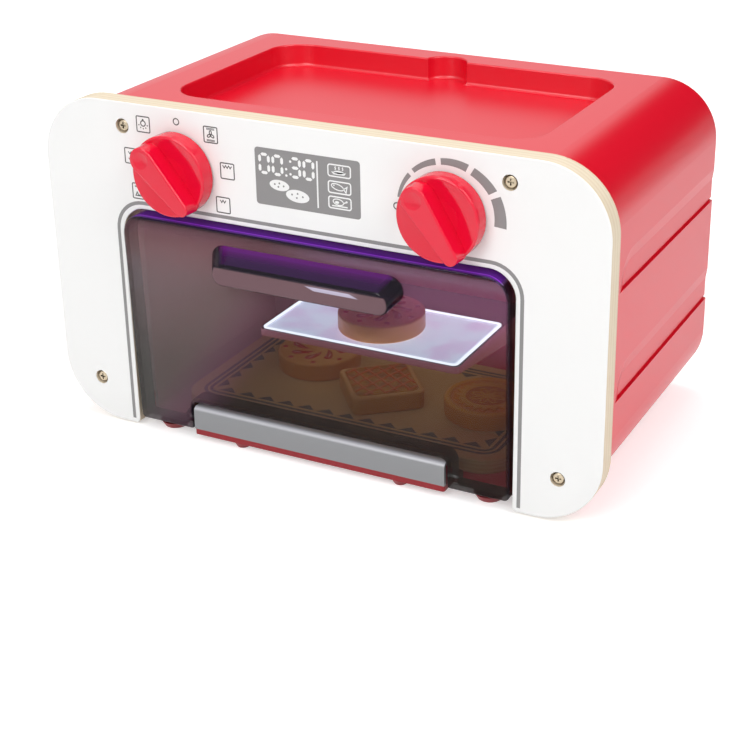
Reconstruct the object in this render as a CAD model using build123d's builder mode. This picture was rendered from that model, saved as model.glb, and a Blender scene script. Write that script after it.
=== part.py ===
"""Toy table-top oven: a wooden front panel on a red moulded casing, a tip-down door of
smoked plastic, two dials, a lit shelf inside, a baking tray and four biscuits.

Millimetres, +Z up. The front looks along -Y, and +X is to the right as seen from the
front. The origin is under the middle of the object, on the table. A "depth" is measured
backwards from the front panel's face, so what stands proud of the panel has a negative one.
"""
from build123d import *
import os

os.makedirs("parts", exist_ok=True)

# ---------------------------------------------------------------- driving dimensions

# front panel, of plywood
panel_width = 360.0
panel_height = 209.0
panel_thick = 12.5
panel_foot = 1.5            # the panel's lower edge above the table
panel_corner = 40.0
panel_rim = 0.8             # eased front edge
opening_half = 126.9        # door opening, half its width
opening_top = 146.0
opening_corner = 16.0
leg_corner = 3.0            # where the opening meets the panel's lower edge

# moulded casing
casing_inset = 5.0          # the casing stands back from the panel's upper and lower edges
casing_side_inset = 6.0     # and from its sides
casing_depth = 191.0
casing_corner = 36.0
wall = 3.5
casing_rear_round = 2.0

# tray recess in the casing's top
recess_width = 238.0
recess_front = 42.0
recess_rear = 183.0
recess_corner = 21.0
recess_deep = 14.8
recess_rim = 1.0            # eased upper edge
recess_foot = 2.4           # rounding between the floor and the walls
notch_radius = 14.2         # round finger notch behind the recess
notch_rear = 193.6

# grip channels along the casing's sides
channel_ledges = (64.5, 130.5)
channel_height = 13.5       # height of the flat floor over the ledge
channel_front = 40.0
channel_corner = 12.5
channel_deep = 1.3
channel_slope = 80.0        # the long soft slope round the floor, in degrees off square
slot_height = 1.5
slot_deep = 2.2

# oven cavity
cavity_half = 122.0
cavity_top = 142.0
cavity_floor = 7.0
cavity_front = 14.0
cavity_rear = 158.0
liner_wall = 2.0
cavity_corner = 14.0
flange_thick = 1.5
flange_reach = 16.0         # how far the liner's flange spreads behind the panel
flange_foot = 20.0

# base
plate_half = 134.0
plate_front = 13.9
plate_rear = 188.0
plate_bottom = 3.0
casing_floor = panel_foot + casing_inset
liner_seat = cavity_floor - liner_wall
foot_radius = 9.5
foot_height = 3.8
foot_x = 108.0
foot_depths = (12.5, 172.0)
stud_radius = 6.0
stud_x = 54.0
stud_depth = 5.2

# door hinge
hinge_depth = 5.0
hinge_height = 12.5
hinge_half = 85.0           # half the width of the hinge bar
pin_radius = 1.5
pin_play = 0.05
pin_inner = 78.0
pin_outer = 92.0
lip_front = -0.8
lip_top = 7.4
bar_top = 22.0
bar_thick = 2.4
bar_round = 3.0
block_rear = 9.5

# door
door_half = 124.8
door_bottom = 6.5
door_top = 143.8
door_face = -0.7
door_deep = 11.5
door_wall = 2.5
door_round = 1.7
door_top_corner = 14.0
door_bottom_corner = 3.0
notch_half = 86.5           # notch in the door round the hinge bar
notch_top = 25.3
notch_corner_upper = 4.5
notch_corner_lower = 1.5
pin_boss_radius = 4.5
pin_boss_length = 6.0
rest_lean = 2.0             # the unlatched door leans forward by this many degrees

# door handle
handle_base = (124.6, 17.0)
handle_front = (112.6, 15.0)
handle_base_height = 126.0
handle_front_height = 119.2
handle_reach = -11.0
handle_round = 2.0
handle_wall = 2.5

# dials
dial_x = 85.4
dial_height = 172.8
knob_radius = 24.3
knob_back = -1.0
knob_shoulder = -11.0
knob_reach = 21.0
knob_round = 1.2
dish_rim = 1.4
dish_deep = 1.3
dish_floor = 12.0
grip_head = (15.5, 8.1)     # distance from the axis and radius of the grip's broad end
grip_tail = (-20.5, 4.8)
grip_taper = 2.5
grip_round = 1.1
dimple_radius = 13.0        # of the ball that hollows the dimple
dimple_deep = 1.0
shaft_radius = 4.0
shaft_play = 0.06
journal_radius = 2.9
left_turn = 44.0            # grip's angle from upright at rest, anticlockwise from the front
right_turn = 36.0
wheel_radius = 12.0
wheel_thick = 4.0
wheel_notches = 12

# lit shelf
shelf_top = 57.0
shelf_half = 69.0
shelf_front = 52.0
shelf_edge = 4.5            # thickness at the front edge
shelf_root = 17.0           # thickness at the rear wall
light_half = 65.5
light_front = 55.0
light_rear = 121.0
light_thick = 3.4
rim_height = 0.8

# tray and biscuits
tray_size = (222.0, 122.0)
tray_thick = 9.0
tray_corner = 20.0
tray_depth = 82.0
biscuit_thick = 12.0
biscuit_round = 1.6

# battery box, for three AA cells
cell_radius = 7.1
cell_length = 49.5
cell_pitch = 16.0
box_half = 31.0
box_middle = 50.0
box_height = 52.0
box_deep = 20.0
box_wall = 1.5
hatch_size = (72.0, 68.0)
hatch_thick = 1.9
hatch_play = 0.3

# screws
screw_points = [(-122.6, 195.8), (122.6, 195.8), (-153.9, 28.2), (153.9, 28.2)]
screw_shank = 1.5
screw_head = 3.7
screw_head_high = 2.3
counterbore_radius = 4.5
counterbore_deep = 3.4
boss_radius = 5.0
boss_length = 22.0
pilot_deep = 8.0            # blind holes in the panel's back

# click springs and the lamp's switch, behind the panel
spring_gap = 0.4            # between a spring's tip and its wheel
spring_thick = 0.6
spring_wide = 3.0
spring_rise = 3.0           # the tip's step towards the wheel
spring_reach = 24.0         # from the dial's axis to the spring's screw
board_size = (16.0, 20.0)
board_thick = 1.6
board_height = 170.0
switch_size = (6.0, 6.0, 5.8)
plunger_reach = 3.0
plunger_gap = 0.5           # between the plunger and the wheel

# ------------------------------------------------------------------ derived positions

panel_mid = panel_foot + panel_height / 2
casing_width = panel_width - 2 * casing_side_inset
casing_height = panel_height - 2 * casing_inset
casing_half = casing_width / 2
casing_top = panel_foot + panel_height - casing_inset
casing_rear = panel_thick + casing_depth
front_y = (knob_reach - casing_rear) / 2
tray_top = cavity_floor + tray_thick
hinge_axis = Axis((0, front_y + hinge_depth, hinge_height), (1, 0, 0))
dial_points = [(-dial_x, dial_height), (dial_x, dial_height)]
spring_height = dial_height + wheel_radius + spring_gap + spring_thick + spring_rise
board_x = -dial_x + wheel_radius + plunger_gap + plunger_reach + switch_size[0] / 2 + 2.0
liner_screw_points = [(side * 133.0, height) for side in (-1, 1) for height in (48.0, 124.0)]
spring_screw_points = [(side * (dial_x - spring_reach), spring_height) for side in (-1, 1)]
board_screw_points = [(board_x, board_height + side * (board_size[1] / 2 - 3)) for side in (-1, 1)]
inner_screw_points = spring_screw_points + board_screw_points


def face_at(depth):
    """The upright plane at a depth behind the panel's face, drawn as seen from the front."""
    return Plane.XZ.offset(-(front_y + depth))


def level_at(height):
    """The level plane at a height, drawn with x and depth."""
    return Plane(origin=(0, front_y, height), x_dir=(1, 0, 0), z_dir=(0, 0, 1))


def side_at(x):
    """The upright plane square to X, drawn with depth and height."""
    return Plane(origin=(x, front_y, 0), x_dir=(0, 1, 0), z_dir=(1, 0, 0))


def back_at(depth):
    """The upright plane at a depth, drawn as seen from behind, so its x is turned over."""
    return Plane(face_at(depth).origin, x_dir=(-1, 0, 0), z_dir=(0, 1, 0))


def under_at(height):
    """The level plane at a height, drawn as seen from below, so its depth is turned over."""
    return Plane(level_at(height).origin, x_dir=(1, 0, 0), z_dir=(0, 0, -1))


def turned(points, flip):
    """The same points on a plane that turns one of the two directions over."""
    return [(x * flip[0], height * flip[1]) for x, height in points]


def finish(builder, name):
    """Label a finished piece and write it to its own file."""
    builder.part.label = name
    export_step(builder.part, f"parts/{name}.step")


def screw(plane, points, head_radius, head_high, shank_radius, shank_length):
    """Pan-head screws driven against a plane's normal, with a cross drive in each head."""
    with Locations(plane):
        with Locations(*points):
            Cylinder(head_radius, head_high, align=(Align.CENTER, Align.CENTER, Align.MIN))
            Cylinder(shank_radius, shank_length, align=(Align.CENTER, Align.CENTER, Align.MAX))
    fillet(edges().filter_by(GeomType.CIRCLE).filter_by(
        lambda edge: abs(edge.radius - head_radius) < 0.01
        and abs(plane.to_local_coords(edge.arc_center).Z - head_high) < 0.01), head_high * 0.55)
    with Locations(plane.offset(head_high)):
        with Locations(*points):
            for length, width in ((head_radius, head_radius / 4), (head_radius / 4, head_radius)):
                Box(length, width, head_high, mode=Mode.SUBTRACT)


# ------------------------------------------------------------------------ front panel

opening_drawn = 200.0       # the opening's outline runs on below the panel

with BuildPart() as front_panel:
    with BuildSketch(face_at(0)):
        with Locations((0, panel_mid)):
            RectangleRounded(panel_width, panel_height, panel_corner)
        with Locations((0, opening_top - opening_drawn / 2)):
            RectangleRounded(2 * opening_half, opening_drawn, opening_corner, mode=Mode.SUBTRACT)
    extrude(amount=-panel_thick)
    leg_edges = edges().filter_by(Axis.Y).filter_by(
        lambda edge: edge.center().Z < panel_foot + 1 and abs(edge.center().X) < opening_half + 1)
    fillet(leg_edges, leg_corner)
    fillet(faces().sort_by(Axis.Y)[0].edges(), panel_rim)
    with Locations(face_at(0)):
        with Locations(*screw_points):
            CounterBoreHole(screw_shank + 0.5, counterbore_radius, counterbore_deep)
        with Locations(*dial_points):
            Hole(shaft_radius + shaft_play)
    with Locations(back_at(panel_thick)):
        with Locations(*turned(liner_screw_points + inner_screw_points, (-1, 1))):
            Hole(screw_shank, depth=pilot_deep)
finish(front_panel, "front_panel")

with BuildPart() as panel_screws:
    screw(face_at(counterbore_deep), screw_points, screw_head, screw_head_high, screw_shank,
          panel_thick - counterbore_deep + boss_length * 0.7)
finish(panel_screws, "panel_screws")

# ----------------------------------------------------------------------- outer casing


def recess_outline(grow):
    """The outline of the tray recess with its finger notch, grown by a wall."""
    with Locations((0, (recess_front + recess_rear) / 2)):
        RectangleRounded(recess_width + 2 * grow, recess_rear - recess_front + 2 * grow,
                         recess_corner + grow)
    with Locations((0, notch_rear - notch_radius)):
        Circle(notch_radius + grow)


# the air inside the casing, taken out of it below
with BuildPart() as casing_air:
    with BuildSketch(face_at(panel_thick)):
        with Locations((0, panel_mid)):
            RectangleRounded(casing_width - 2 * wall, casing_height - 2 * wall, casing_corner - wall)
    extrude(amount=-(casing_depth - wall))
    with BuildSketch(level_at(casing_top)):
        recess_outline(wall)
    extrude(amount=-(recess_deep + wall), mode=Mode.SUBTRACT)

# the grip channels: a shallow flat band, with a long soft slope round it, over a sharp ledge
# with a slot
channel_end = casing_rear + 10
slope_reach = 10.0          # more than the slope's width
with BuildPart() as channels:
    for ledge in channel_ledges:
        with BuildSketch(side_at(casing_half - channel_deep)):
            with Locations(((channel_front + channel_end) / 2, ledge + channel_height / 2)):
                Rectangle(channel_end - channel_front, channel_height)
            fillet(vertices().group_by(Axis.X)[0].sort_by(Axis.Y)[-1], channel_corner)
        extrude(amount=channel_deep, taper=-channel_slope)
    for ledge in channel_ledges:
        with BuildSketch(side_at(casing_half - 2 * channel_deep)):
            with Locations(((channel_front + channel_end) / 2, ledge - slope_reach / 2)):
                Rectangle(channel_end - channel_front + 4 * slope_reach, slope_reach)
        extrude(amount=4 * channel_deep, mode=Mode.SUBTRACT)
        with BuildSketch(side_at(casing_half - slot_deep)):
            with Locations(((channel_front + channel_end) / 2, ledge + slot_height / 2)):
                Rectangle(channel_end - channel_front, slot_height)
        extrude(amount=2 * slot_deep)
    mirror(about=Plane.YZ)

hatch_screw_height = box_middle + box_height / 2 + 3.2
base_screw_points = [(side * 130.5, depth) for side in (-1, 1) for depth in (26.0, 180.0)]
base_boss_radius = 4.0
base_boss_high = 14.0
lining_gap = 2.0            # between the liner and the casing's lower opening

with BuildPart() as outer_casing:
    with BuildSketch(face_at(panel_thick)):
        with Locations((0, panel_mid)):
            RectangleRounded(casing_width, casing_height, casing_corner)
    extrude(amount=-casing_depth)
    fillet(faces().sort_by(Axis.Y)[-1].edges(), casing_rear_round)
    add(channels.part, mode=Mode.SUBTRACT)
    with BuildSketch(level_at(casing_top - recess_deep)):
        recess_outline(0)
    extrude(amount=recess_deep, mode=Mode.SUBTRACT)
    recess_floor = faces().filter_by(Axis.Z).filter_by(
        lambda face: abs(face.center().Z - casing_top + recess_deep) < 0.01)
    fillet(recess_floor.edges(), recess_foot)
    rim_edges = edges().filter_by(lambda edge: abs(edge.bounding_box().min.Z - casing_top) < 0.01
                                  and abs(edge.center().X) < recess_width / 2 + 1
                                  and edge.center().Y < front_y + notch_rear + 1
                                  and edge.center().Y > front_y + recess_front - 1)
    fillet(rim_edges, recess_rim)
    add(casing_air.part, mode=Mode.SUBTRACT)
    # lower opening for the liner
    opening_length = cavity_rear + 2 * liner_wall + lining_gap - panel_thick
    with BuildSketch(level_at(casing_floor)):
        with Locations((0, panel_thick + opening_length / 2)):
            Rectangle(2 * (cavity_half + liner_wall + lining_gap), opening_length)
    extrude(amount=wall, mode=Mode.SUBTRACT)
    # screw bosses behind the panel, each held to the wall by a rib
    for x, height in screw_points:
        rib_end = casing_top - wall if height > panel_mid else casing_floor + wall
        with BuildSketch(face_at(panel_thick)):
            with Locations((x, height)):
                Circle(boss_radius)
            with Locations((x, (height + rib_end) / 2)):
                Rectangle(3.0, abs(height - rib_end) + 3.0 if height > panel_mid else
                          abs(height - rib_end) - 4.0)
        extrude(amount=-boss_length)
    with Locations(face_at(panel_thick)):
        with Locations(*screw_points):
            Hole(screw_shank, depth=boss_length - 4)
    # bosses over the base plate's screws
    with BuildSketch(level_at(casing_floor)):
        with Locations(*base_screw_points):
            Circle(base_boss_radius)
    extrude(amount=base_boss_high)
    with Locations(under_at(casing_floor)):
        with Locations(*turned(base_screw_points, (1, -1))):
            Hole(screw_shank, depth=base_boss_high - 3)
    # battery hatch: a step for the lid and an opening into the battery box
    with BuildSketch(face_at(casing_rear)):
        with Locations((0, box_middle)):
            RectangleRounded(*hatch_size, 4)
    extrude(amount=hatch_thick, mode=Mode.SUBTRACT)
    with BuildSketch(face_at(casing_rear)):
        with Locations((0, box_middle)):
            Rectangle(2 * (box_half - box_wall), box_height - 2 * box_wall)
    extrude(amount=wall + 1, mode=Mode.SUBTRACT)
    with Locations(back_at(casing_rear)):
        with Locations((0, hatch_screw_height)):
            Hole(screw_shank, depth=wall + 1)
finish(outer_casing, "outer_casing")

# --------------------------------------------------------------------------- base plate

with BuildPart() as base_plate:
    with BuildSketch(level_at(plate_bottom)):
        with Locations((0, (plate_front + plate_rear) / 2)):
            RectangleRounded(2 * plate_half, plate_rear - plate_front, 8)
    extrude(amount=casing_floor - plate_bottom)
    # pocket that the liner stands in, open to the front
    pocket_rear = cavity_rear + liner_wall + 0.5
    with BuildSketch(level_at(liner_seat)):
        with Locations((0, pocket_rear / 2)):
            Rectangle(2 * (cavity_half + liner_wall + 0.5), pocket_rear)
    extrude(amount=liner_wall, mode=Mode.SUBTRACT)
    # lip under the hinge bar, with the upstand that carries the hinge
    with BuildSketch(level_at(foot_height)):
        with Locations((0, (lip_front + cavity_front) / 2)):
            RectangleRounded(2 * hinge_half, cavity_front - lip_front, 1.5)
    extrude(amount=lip_top - foot_height)
    with BuildSketch(side_at(-hinge_half + 0.5)):
        block_front = lip_front + bar_thick + 0.1
        block_top = bar_top - bar_thick - 0.1
        with Locations(((block_front + block_rear) / 2, (lip_top + block_top) / 2)):
            Rectangle(block_rear - block_front, block_top - lip_top)
    extrude(amount=2 * hinge_half - 1)
    with BuildSketch(side_at(-hinge_half)):
        with Locations((hinge_depth, hinge_height)):
            Circle(pin_radius)
    extrude(amount=2 * hinge_half, mode=Mode.SUBTRACT)
    with BuildSketch(side_at(-pin_inner)):
        with Locations((hinge_depth, hinge_height)):
            Circle(pin_radius)
    extrude(amount=2 * pin_inner)
    # feet, and studs under the lip
    for x in (-foot_x, foot_x):
        for depth in foot_depths:
            with BuildSketch(level_at(foot_height)):
                with Locations((x, depth)):
                    Circle(foot_radius)
            extrude(amount=-foot_height, taper=30)
    for x in (-stud_x, stud_x):
        with BuildSketch(level_at(foot_height)):
            with Locations((x, stud_depth)):
                Circle(stud_radius)
        extrude(amount=-foot_height, taper=30)
    with Locations(under_at(plate_bottom)):
        with Locations(*turned(base_screw_points, (1, -1))):
            Hole(screw_shank + 0.3)
finish(base_plate, "base_plate")

with BuildPart() as base_screws:
    screw(under_at(plate_bottom), turned(base_screw_points, (1, -1)), 3.2, 1.9, screw_shank,
          casing_floor - plate_bottom + base_boss_high * 0.6)
finish(base_screws, "base_screws")

# --------------------------------------------------------------------------- oven liner

cavity_mid = (cavity_floor + cavity_top) / 2
cavity_high = cavity_top - cavity_floor

with BuildPart() as oven_liner:
    with BuildSketch(face_at(cavity_front)):
        with Locations((0, cavity_mid)):
            RectangleRounded(2 * (cavity_half + liner_wall), cavity_high + 2 * liner_wall,
                             cavity_corner + liner_wall)
        with Locations((0, liner_seat + cavity_corner / 2)):
            Rectangle(2 * (cavity_half + liner_wall), cavity_corner)
    extrude(amount=-(cavity_rear + liner_wall - cavity_front))
    # flange behind the panel, which the shut door stops against
    with BuildSketch(face_at(panel_thick)):
        flange_top = cavity_top + flange_reach
        with Locations((0, (flange_foot + flange_top) / 2)):
            RectangleRounded(2 * (cavity_half + flange_reach), flange_top - flange_foot, 8)
        with Locations((0, cavity_mid)):
            RectangleRounded(2 * cavity_half, cavity_high, cavity_corner, mode=Mode.SUBTRACT)
    extrude(amount=-flange_thick)
    with BuildSketch(face_at(panel_thick)):
        with Locations((0, cavity_mid)):
            RectangleRounded(2 * cavity_half, cavity_high, cavity_corner)
        with Locations((0, cavity_floor + cavity_corner / 2)):
            RectangleRounded(2 * cavity_half, cavity_corner, 3)
    extrude(amount=-(cavity_rear - panel_thick), mode=Mode.SUBTRACT)
    with Locations(face_at(panel_thick)):
        with Locations(*liner_screw_points):
            Hole(screw_shank + 0.3)
    with BuildSketch(face_at(cavity_rear)):
        with Locations((-50, shelf_top - 9), (50, shelf_top - 9)):
            Circle(screw_shank + 0.3)
    extrude(amount=-liner_wall, mode=Mode.SUBTRACT)
finish(oven_liner, "oven_liner")

with BuildPart() as liner_screws:
    screw(back_at(panel_thick + flange_thick), turned(liner_screw_points, (-1, 1)), 2.8, 1.8,
          screw_shank, flange_thick + pilot_deep - 0.5)
finish(liner_screws, "liner_screws")

# ---------------------------------------------------------------------------- lit shelf

led_size = (4.0, 1.4, 2.4)
led_count = 8
led_pitch = 15.0
shelf_screw_points = [(-50, shelf_top - 9), (50, shelf_top - 9)]
shelf_screw_bite = 12.0
led_pocket = (light_rear, light_rear + board_thick + led_size[1] + 1.0)

with BuildPart() as lamp_shelf:
    with BuildSketch(side_at(-shelf_half)):
        with BuildLine():
            Polyline((shelf_front, shelf_top), (cavity_rear, shelf_top),
                     (cavity_rear, shelf_top - shelf_root),
                     (cavity_rear - 10, shelf_top - shelf_root),
                     (shelf_front, shelf_top - shelf_edge), close=True)
        make_face()
    extrude(amount=2 * shelf_half)
    fillet(edges().filter_by(Axis.Z).group_by(Axis.Y)[0], 4)
    # pocket for the light plate, with a raised rim round it
    light_mid = (light_front + light_rear) / 2
    light_long = light_rear - light_front
    with BuildSketch(level_at(shelf_top)):
        with Locations((0, light_mid)):
            RectangleRounded(2 * light_half + 4, light_long + 4, 4)
    extrude(amount=rim_height)
    with BuildSketch(level_at(shelf_top + rim_height)):
        with Locations((0, light_mid)):
            RectangleRounded(2 * light_half, light_long, 2)
    extrude(amount=-(rim_height + light_thick), mode=Mode.SUBTRACT)
    # pocket from below for the lamps' board
    with BuildSketch(level_at(shelf_top - 1.2)):
        with Locations((0, sum(led_pocket) / 2)):
            Rectangle(2 * light_half - 2, led_pocket[1] - led_pocket[0])
    extrude(amount=-shelf_root, mode=Mode.SUBTRACT)
    with Locations(back_at(cavity_rear)):
        with Locations(*shelf_screw_points):
            Hole(screw_shank, depth=shelf_screw_bite)
finish(lamp_shelf, "lamp_shelf")

with BuildPart() as shelf_screws:
    screw(back_at(cavity_rear + liner_wall), shelf_screw_points, 3.0, 1.8, screw_shank,
          liner_wall + shelf_screw_bite - 1)
finish(shelf_screws, "shelf_screws")

with BuildPart() as light_plate:
    with BuildSketch(level_at(shelf_top)):
        with Locations((0, light_mid)):
            RectangleRounded(2 * light_half, light_long, 2)
    extrude(amount=-light_thick)
finish(light_plate, "light_plate")

with BuildPart() as lamp_board:
    with BuildSketch(level_at(shelf_top - 1.4)):
        with Locations((0, led_pocket[0] + led_size[1] + 0.1 + board_thick / 2)):
            Rectangle(2 * light_half - 4, board_thick)
    extrude(amount=-7.0)
finish(lamp_board, "lamp_board")

with BuildPart() as lamps:
    with BuildSketch(level_at(shelf_top - 1.6)):
        with Locations((0, led_pocket[0] + 0.1 + led_size[1] / 2)):
            with GridLocations(led_pitch, 1, led_count, 1):
                Rectangle(led_size[0], led_size[1])
    extrude(amount=-led_size[2])
finish(lamps, "lamps")

# -------------------------------------------------------------------------- battery box

box_front = casing_rear - wall - box_deep
box_inner = box_half - box_wall
cell_depth = casing_rear - wall - cell_radius - 1.5
cell_heights = [box_middle + step * cell_pitch for step in (-1, 0, 1)]

with BuildPart() as battery_box:
    with BuildSketch(face_at(box_front)):
        with Locations((0, box_middle)):
            RectangleRounded(2 * box_half, box_height, 3)
    extrude(amount=-box_deep)
    with BuildSketch(face_at(box_front + box_wall)):
        with Locations((0, box_middle)):
            Rectangle(2 * box_inner, box_height - 2 * box_wall)
    extrude(amount=-box_deep, mode=Mode.SUBTRACT)
    # low ribs that part the cells
    with BuildSketch(face_at(box_front + box_wall)):
        with Locations((0, box_middle)):
            with GridLocations(1, cell_pitch, 1, 2):
                Rectangle(2 * box_inner, 1.0)
    extrude(amount=-3.0)
    # ear for the hatch's screw
    with BuildSketch(face_at(casing_rear - wall)):
        with Locations((0, hatch_screw_height)):
            Circle(4.5)
    extrude(amount=box_deep * 0.6)
    with Locations(back_at(casing_rear - wall)):
        with Locations((0, hatch_screw_height)):
            Hole(screw_shank, depth=box_deep * 0.5)
finish(battery_box, "battery_box")

with BuildPart() as batteries:
    for index, height in enumerate(cell_heights):
        turn = 1 if index % 2 == 0 else -1
        with BuildSketch(side_at(-turn * cell_length / 2)):
            with Locations((cell_depth, height)):
                Circle(cell_radius)
        extrude(amount=turn * cell_length)
        with BuildSketch(side_at(turn * cell_length / 2)):
            with Locations((cell_depth, height)):
                Circle(2.7)
        extrude(amount=turn * 1.0)
finish(batteries, "batteries")

contact_plate = (11.0, 12.0, 0.5)
with BuildPart() as battery_contacts:
    for height in cell_heights:
        for side in (-1, 1):
            with BuildSketch(side_at(side * (box_inner - contact_plate[2]))):
                with Locations((cell_depth, height)):
                    Rectangle(contact_plate[0], contact_plate[1])
            extrude(amount=side * contact_plate[2])
    # the springs that press on the cells' flat ends, as closed cones
    for index, height in enumerate(cell_heights):
        side = -1 if index % 2 == 0 else 1
        with BuildSketch(side_at(side * (box_inner - contact_plate[2]))):
            with Locations((cell_depth, height)):
                Circle(4.5)
        extrude(amount=-side * (box_inner - contact_plate[2] - cell_length / 2), taper=18)
finish(battery_contacts, "battery_contacts")

with BuildPart() as battery_hatch:
    with BuildSketch(face_at(casing_rear)):
        with Locations((0, box_middle)):
            RectangleRounded(hatch_size[0] - 2 * hatch_play, hatch_size[1] - 2 * hatch_play,
                             4 - hatch_play)
    extrude(amount=hatch_thick)
    fillet(faces().sort_by(Axis.Y)[-1].edges(), 0.5)
    # grip ribs, and the two tongues that hook inside the casing's wall
    with BuildSketch(face_at(casing_rear - hatch_thick)):
        with Locations((0, box_middle - box_height / 2 + box_wall + 2.2)):
            with GridLocations(36, 1, 2, 1):
                Rectangle(8, 3.6)
    extrude(amount=wall - hatch_thick + 0.6)
    with BuildSketch(face_at(casing_rear)):
        with Locations((0, box_middle)):
            with GridLocations(1, 3.2, 1, 5):
                SlotOverall(22, 1.2)
    extrude(amount=0.6, mode=Mode.SUBTRACT)
    with Locations(back_at(casing_rear)):
        with Locations((0, hatch_screw_height)):
            CounterBoreHole(screw_shank + 0.2, 3.4, 1.0)
finish(battery_hatch, "battery_hatch")

with BuildPart() as hatch_screw:
    screw(back_at(casing_rear - 1.0), [(0, hatch_screw_height)], 2.9, 0.9, screw_shank, 9.0)
finish(hatch_screw, "hatch_screw")

# ----------------------------------------------------------------------- hinge and door

with BuildPart() as hinge_bar:
    with BuildSketch(side_at(-hinge_half)):
        with BuildLine():
            Polyline((lip_front, lip_top), (lip_front, bar_top), (block_rear, bar_top),
                     (block_rear, bar_top - bar_thick), (lip_front + bar_thick, bar_top - bar_thick),
                     (lip_front + bar_thick, lip_top), close=True)
        make_face()
    extrude(amount=2 * hinge_half)
    bar_edges = edges().filter_by(Axis.X).group_by(Axis.Z)[-1].sort_by(Axis.Y)
    fillet(bar_edges[0], bar_round)
finish(hinge_bar, "hinge_bar")

with BuildPart() as hinge_pins:
    for side in (-1, 1):
        with BuildSketch(side_at(side * pin_inner)):
            with Locations((hinge_depth, hinge_height)):
                Circle(pin_radius)
        extrude(amount=side * (pin_outer - pin_inner))
    chamfer(edges().filter_by(GeomType.CIRCLE), 0.3)
finish(hinge_pins, "hinge_pins")


def door_outline():
    """Draw the door's outline, with the notch round the hinge bar."""
    with Locations((0, (door_bottom + door_top) / 2)):
        Rectangle(2 * door_half, door_top - door_bottom)
    fillet(vertices().group_by(Axis.Y)[-1], door_top_corner)
    fillet(vertices().group_by(Axis.Y)[0], door_bottom_corner)
    with Locations((0, notch_top / 2)):
        Rectangle(2 * notch_half, notch_top, mode=Mode.SUBTRACT)
    notch_corners = vertices().filter_by(lambda point: abs(abs(point.X) - notch_half) < 0.1)
    fillet(notch_corners.group_by(Axis.Y)[-1], notch_corner_upper)
    notch_corners = vertices().filter_by(lambda point: abs(abs(point.X) - notch_half) < 0.1)
    fillet(notch_corners.group_by(Axis.Y)[0], notch_corner_lower)


# the door as it stands when shut; it is leant to its rest pose below
with BuildPart() as shut_door:
    with BuildSketch(face_at(door_face)):
        door_outline()
    extrude(amount=-door_deep)
    fillet(faces().sort_by(Axis.Y)[0].edges(), door_round)
    with BuildSketch(face_at(door_face)):
        with Locations((0, handle_base_height)):
            SlotOverall(*handle_base)
    with BuildSketch(face_at(handle_reach)):
        with Locations((0, handle_front_height)):
            SlotOverall(*handle_front)
    loft()
    fillet(faces().sort_by(Axis.Y)[0].edges(), handle_round)
    with BuildSketch(face_at(door_face + door_wall)):
        door_outline()
        offset(amount=-door_wall, kind=Kind.INTERSECTION, mode=Mode.REPLACE)
    extrude(amount=-door_deep, mode=Mode.SUBTRACT)
    with BuildSketch(face_at(door_face + door_wall)):
        with Locations((0, handle_base_height)):
            SlotOverall(handle_base[0] - 2 * handle_wall, handle_base[1] - 2 * handle_wall)
    with BuildSketch(face_at(handle_reach + handle_wall)):
        with Locations((0, handle_front_height + 0.6)):
            SlotOverall(handle_front[0] - 2 * handle_wall, handle_front[1] - 2 * handle_wall)
    loft(mode=Mode.SUBTRACT)
    for side in (-1, 1):
        with BuildSketch(side_at(side * notch_half)):
            with Locations((hinge_depth, hinge_height)):
                Circle(pin_boss_radius)
        extrude(amount=side * pin_boss_length)
    with BuildSketch(side_at(-notch_half - pin_boss_length - 1)):
        with Locations((hinge_depth, hinge_height)):
            Circle(pin_radius + pin_play)
    extrude(amount=2 * (notch_half + pin_boss_length + 1), mode=Mode.SUBTRACT)

with BuildPart() as door:
    add(shut_door.part.rotate(hinge_axis, rest_lean))
finish(door, "door")

# --------------------------------------------------------------------- dials and clicks

wheel_front = panel_thick + 0.5
wheel_rear = wheel_front + wheel_thick
wheel_screw_bite = 11.0


def build_knob(x):
    """A dial at x with its grip upright: skirt, dished face, grip bar and shaft."""
    with BuildPart() as knob:
        with BuildSketch(face_at(knob_back)):
            with Locations((x, dial_height)):
                Circle(knob_radius)
        extrude(amount=knob_back - knob_shoulder)
        fillet(faces().sort_by(Axis.Y)[0].edges(), knob_round)
        # slightly dished face inside a narrow rim
        with Locations(face_at(knob_shoulder + dish_deep)):
            with Locations((x, dial_height)):
                Cone(dish_floor, knob_radius - dish_rim, dish_deep, mode=Mode.SUBTRACT,
                     align=(Align.CENTER, Align.CENTER, Align.MIN))
        # grip across the whole dial, broad at the end that points
        with BuildSketch(face_at(knob_shoulder + dish_deep)):
            for middle, radius in (grip_head, grip_tail):
                with Locations((x, dial_height + middle)):
                    Circle(radius)
            make_hull()
        extrude(amount=knob_reach + knob_shoulder + dish_deep, taper=grip_taper)
        fillet(faces().sort_by(Axis.Y)[0].edges(), grip_round)
        with Locations(face_at(dimple_deep - knob_reach - dimple_radius)):
            with Locations((x, dial_height + grip_head[0])):
                Sphere(dimple_radius, mode=Mode.SUBTRACT)
        # shaft through the panel, with a thinner journal for the click wheel
        with BuildSketch(face_at(knob_back)):
            with Locations((x, dial_height)):
                Circle(shaft_radius)
        extrude(amount=-(wheel_front - knob_back))
        with BuildSketch(face_at(wheel_front)):
            with Locations((x, dial_height)):
                Circle(journal_radius)
        extrude(amount=-wheel_thick)
        with Locations(back_at(wheel_rear)):
            with Locations((-x, dial_height)):
                Hole(screw_shank, depth=wheel_screw_bite)
    return knob.part


def dial_axis(x):
    """The axis that a dial turns about, pointing out of the panel."""
    return Axis((x, 0, dial_height), (0, -1, 0))


with BuildPart() as left_knob:
    add(build_knob(-dial_x).rotate(dial_axis(-dial_x), left_turn))
finish(left_knob, "left_knob")

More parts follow.
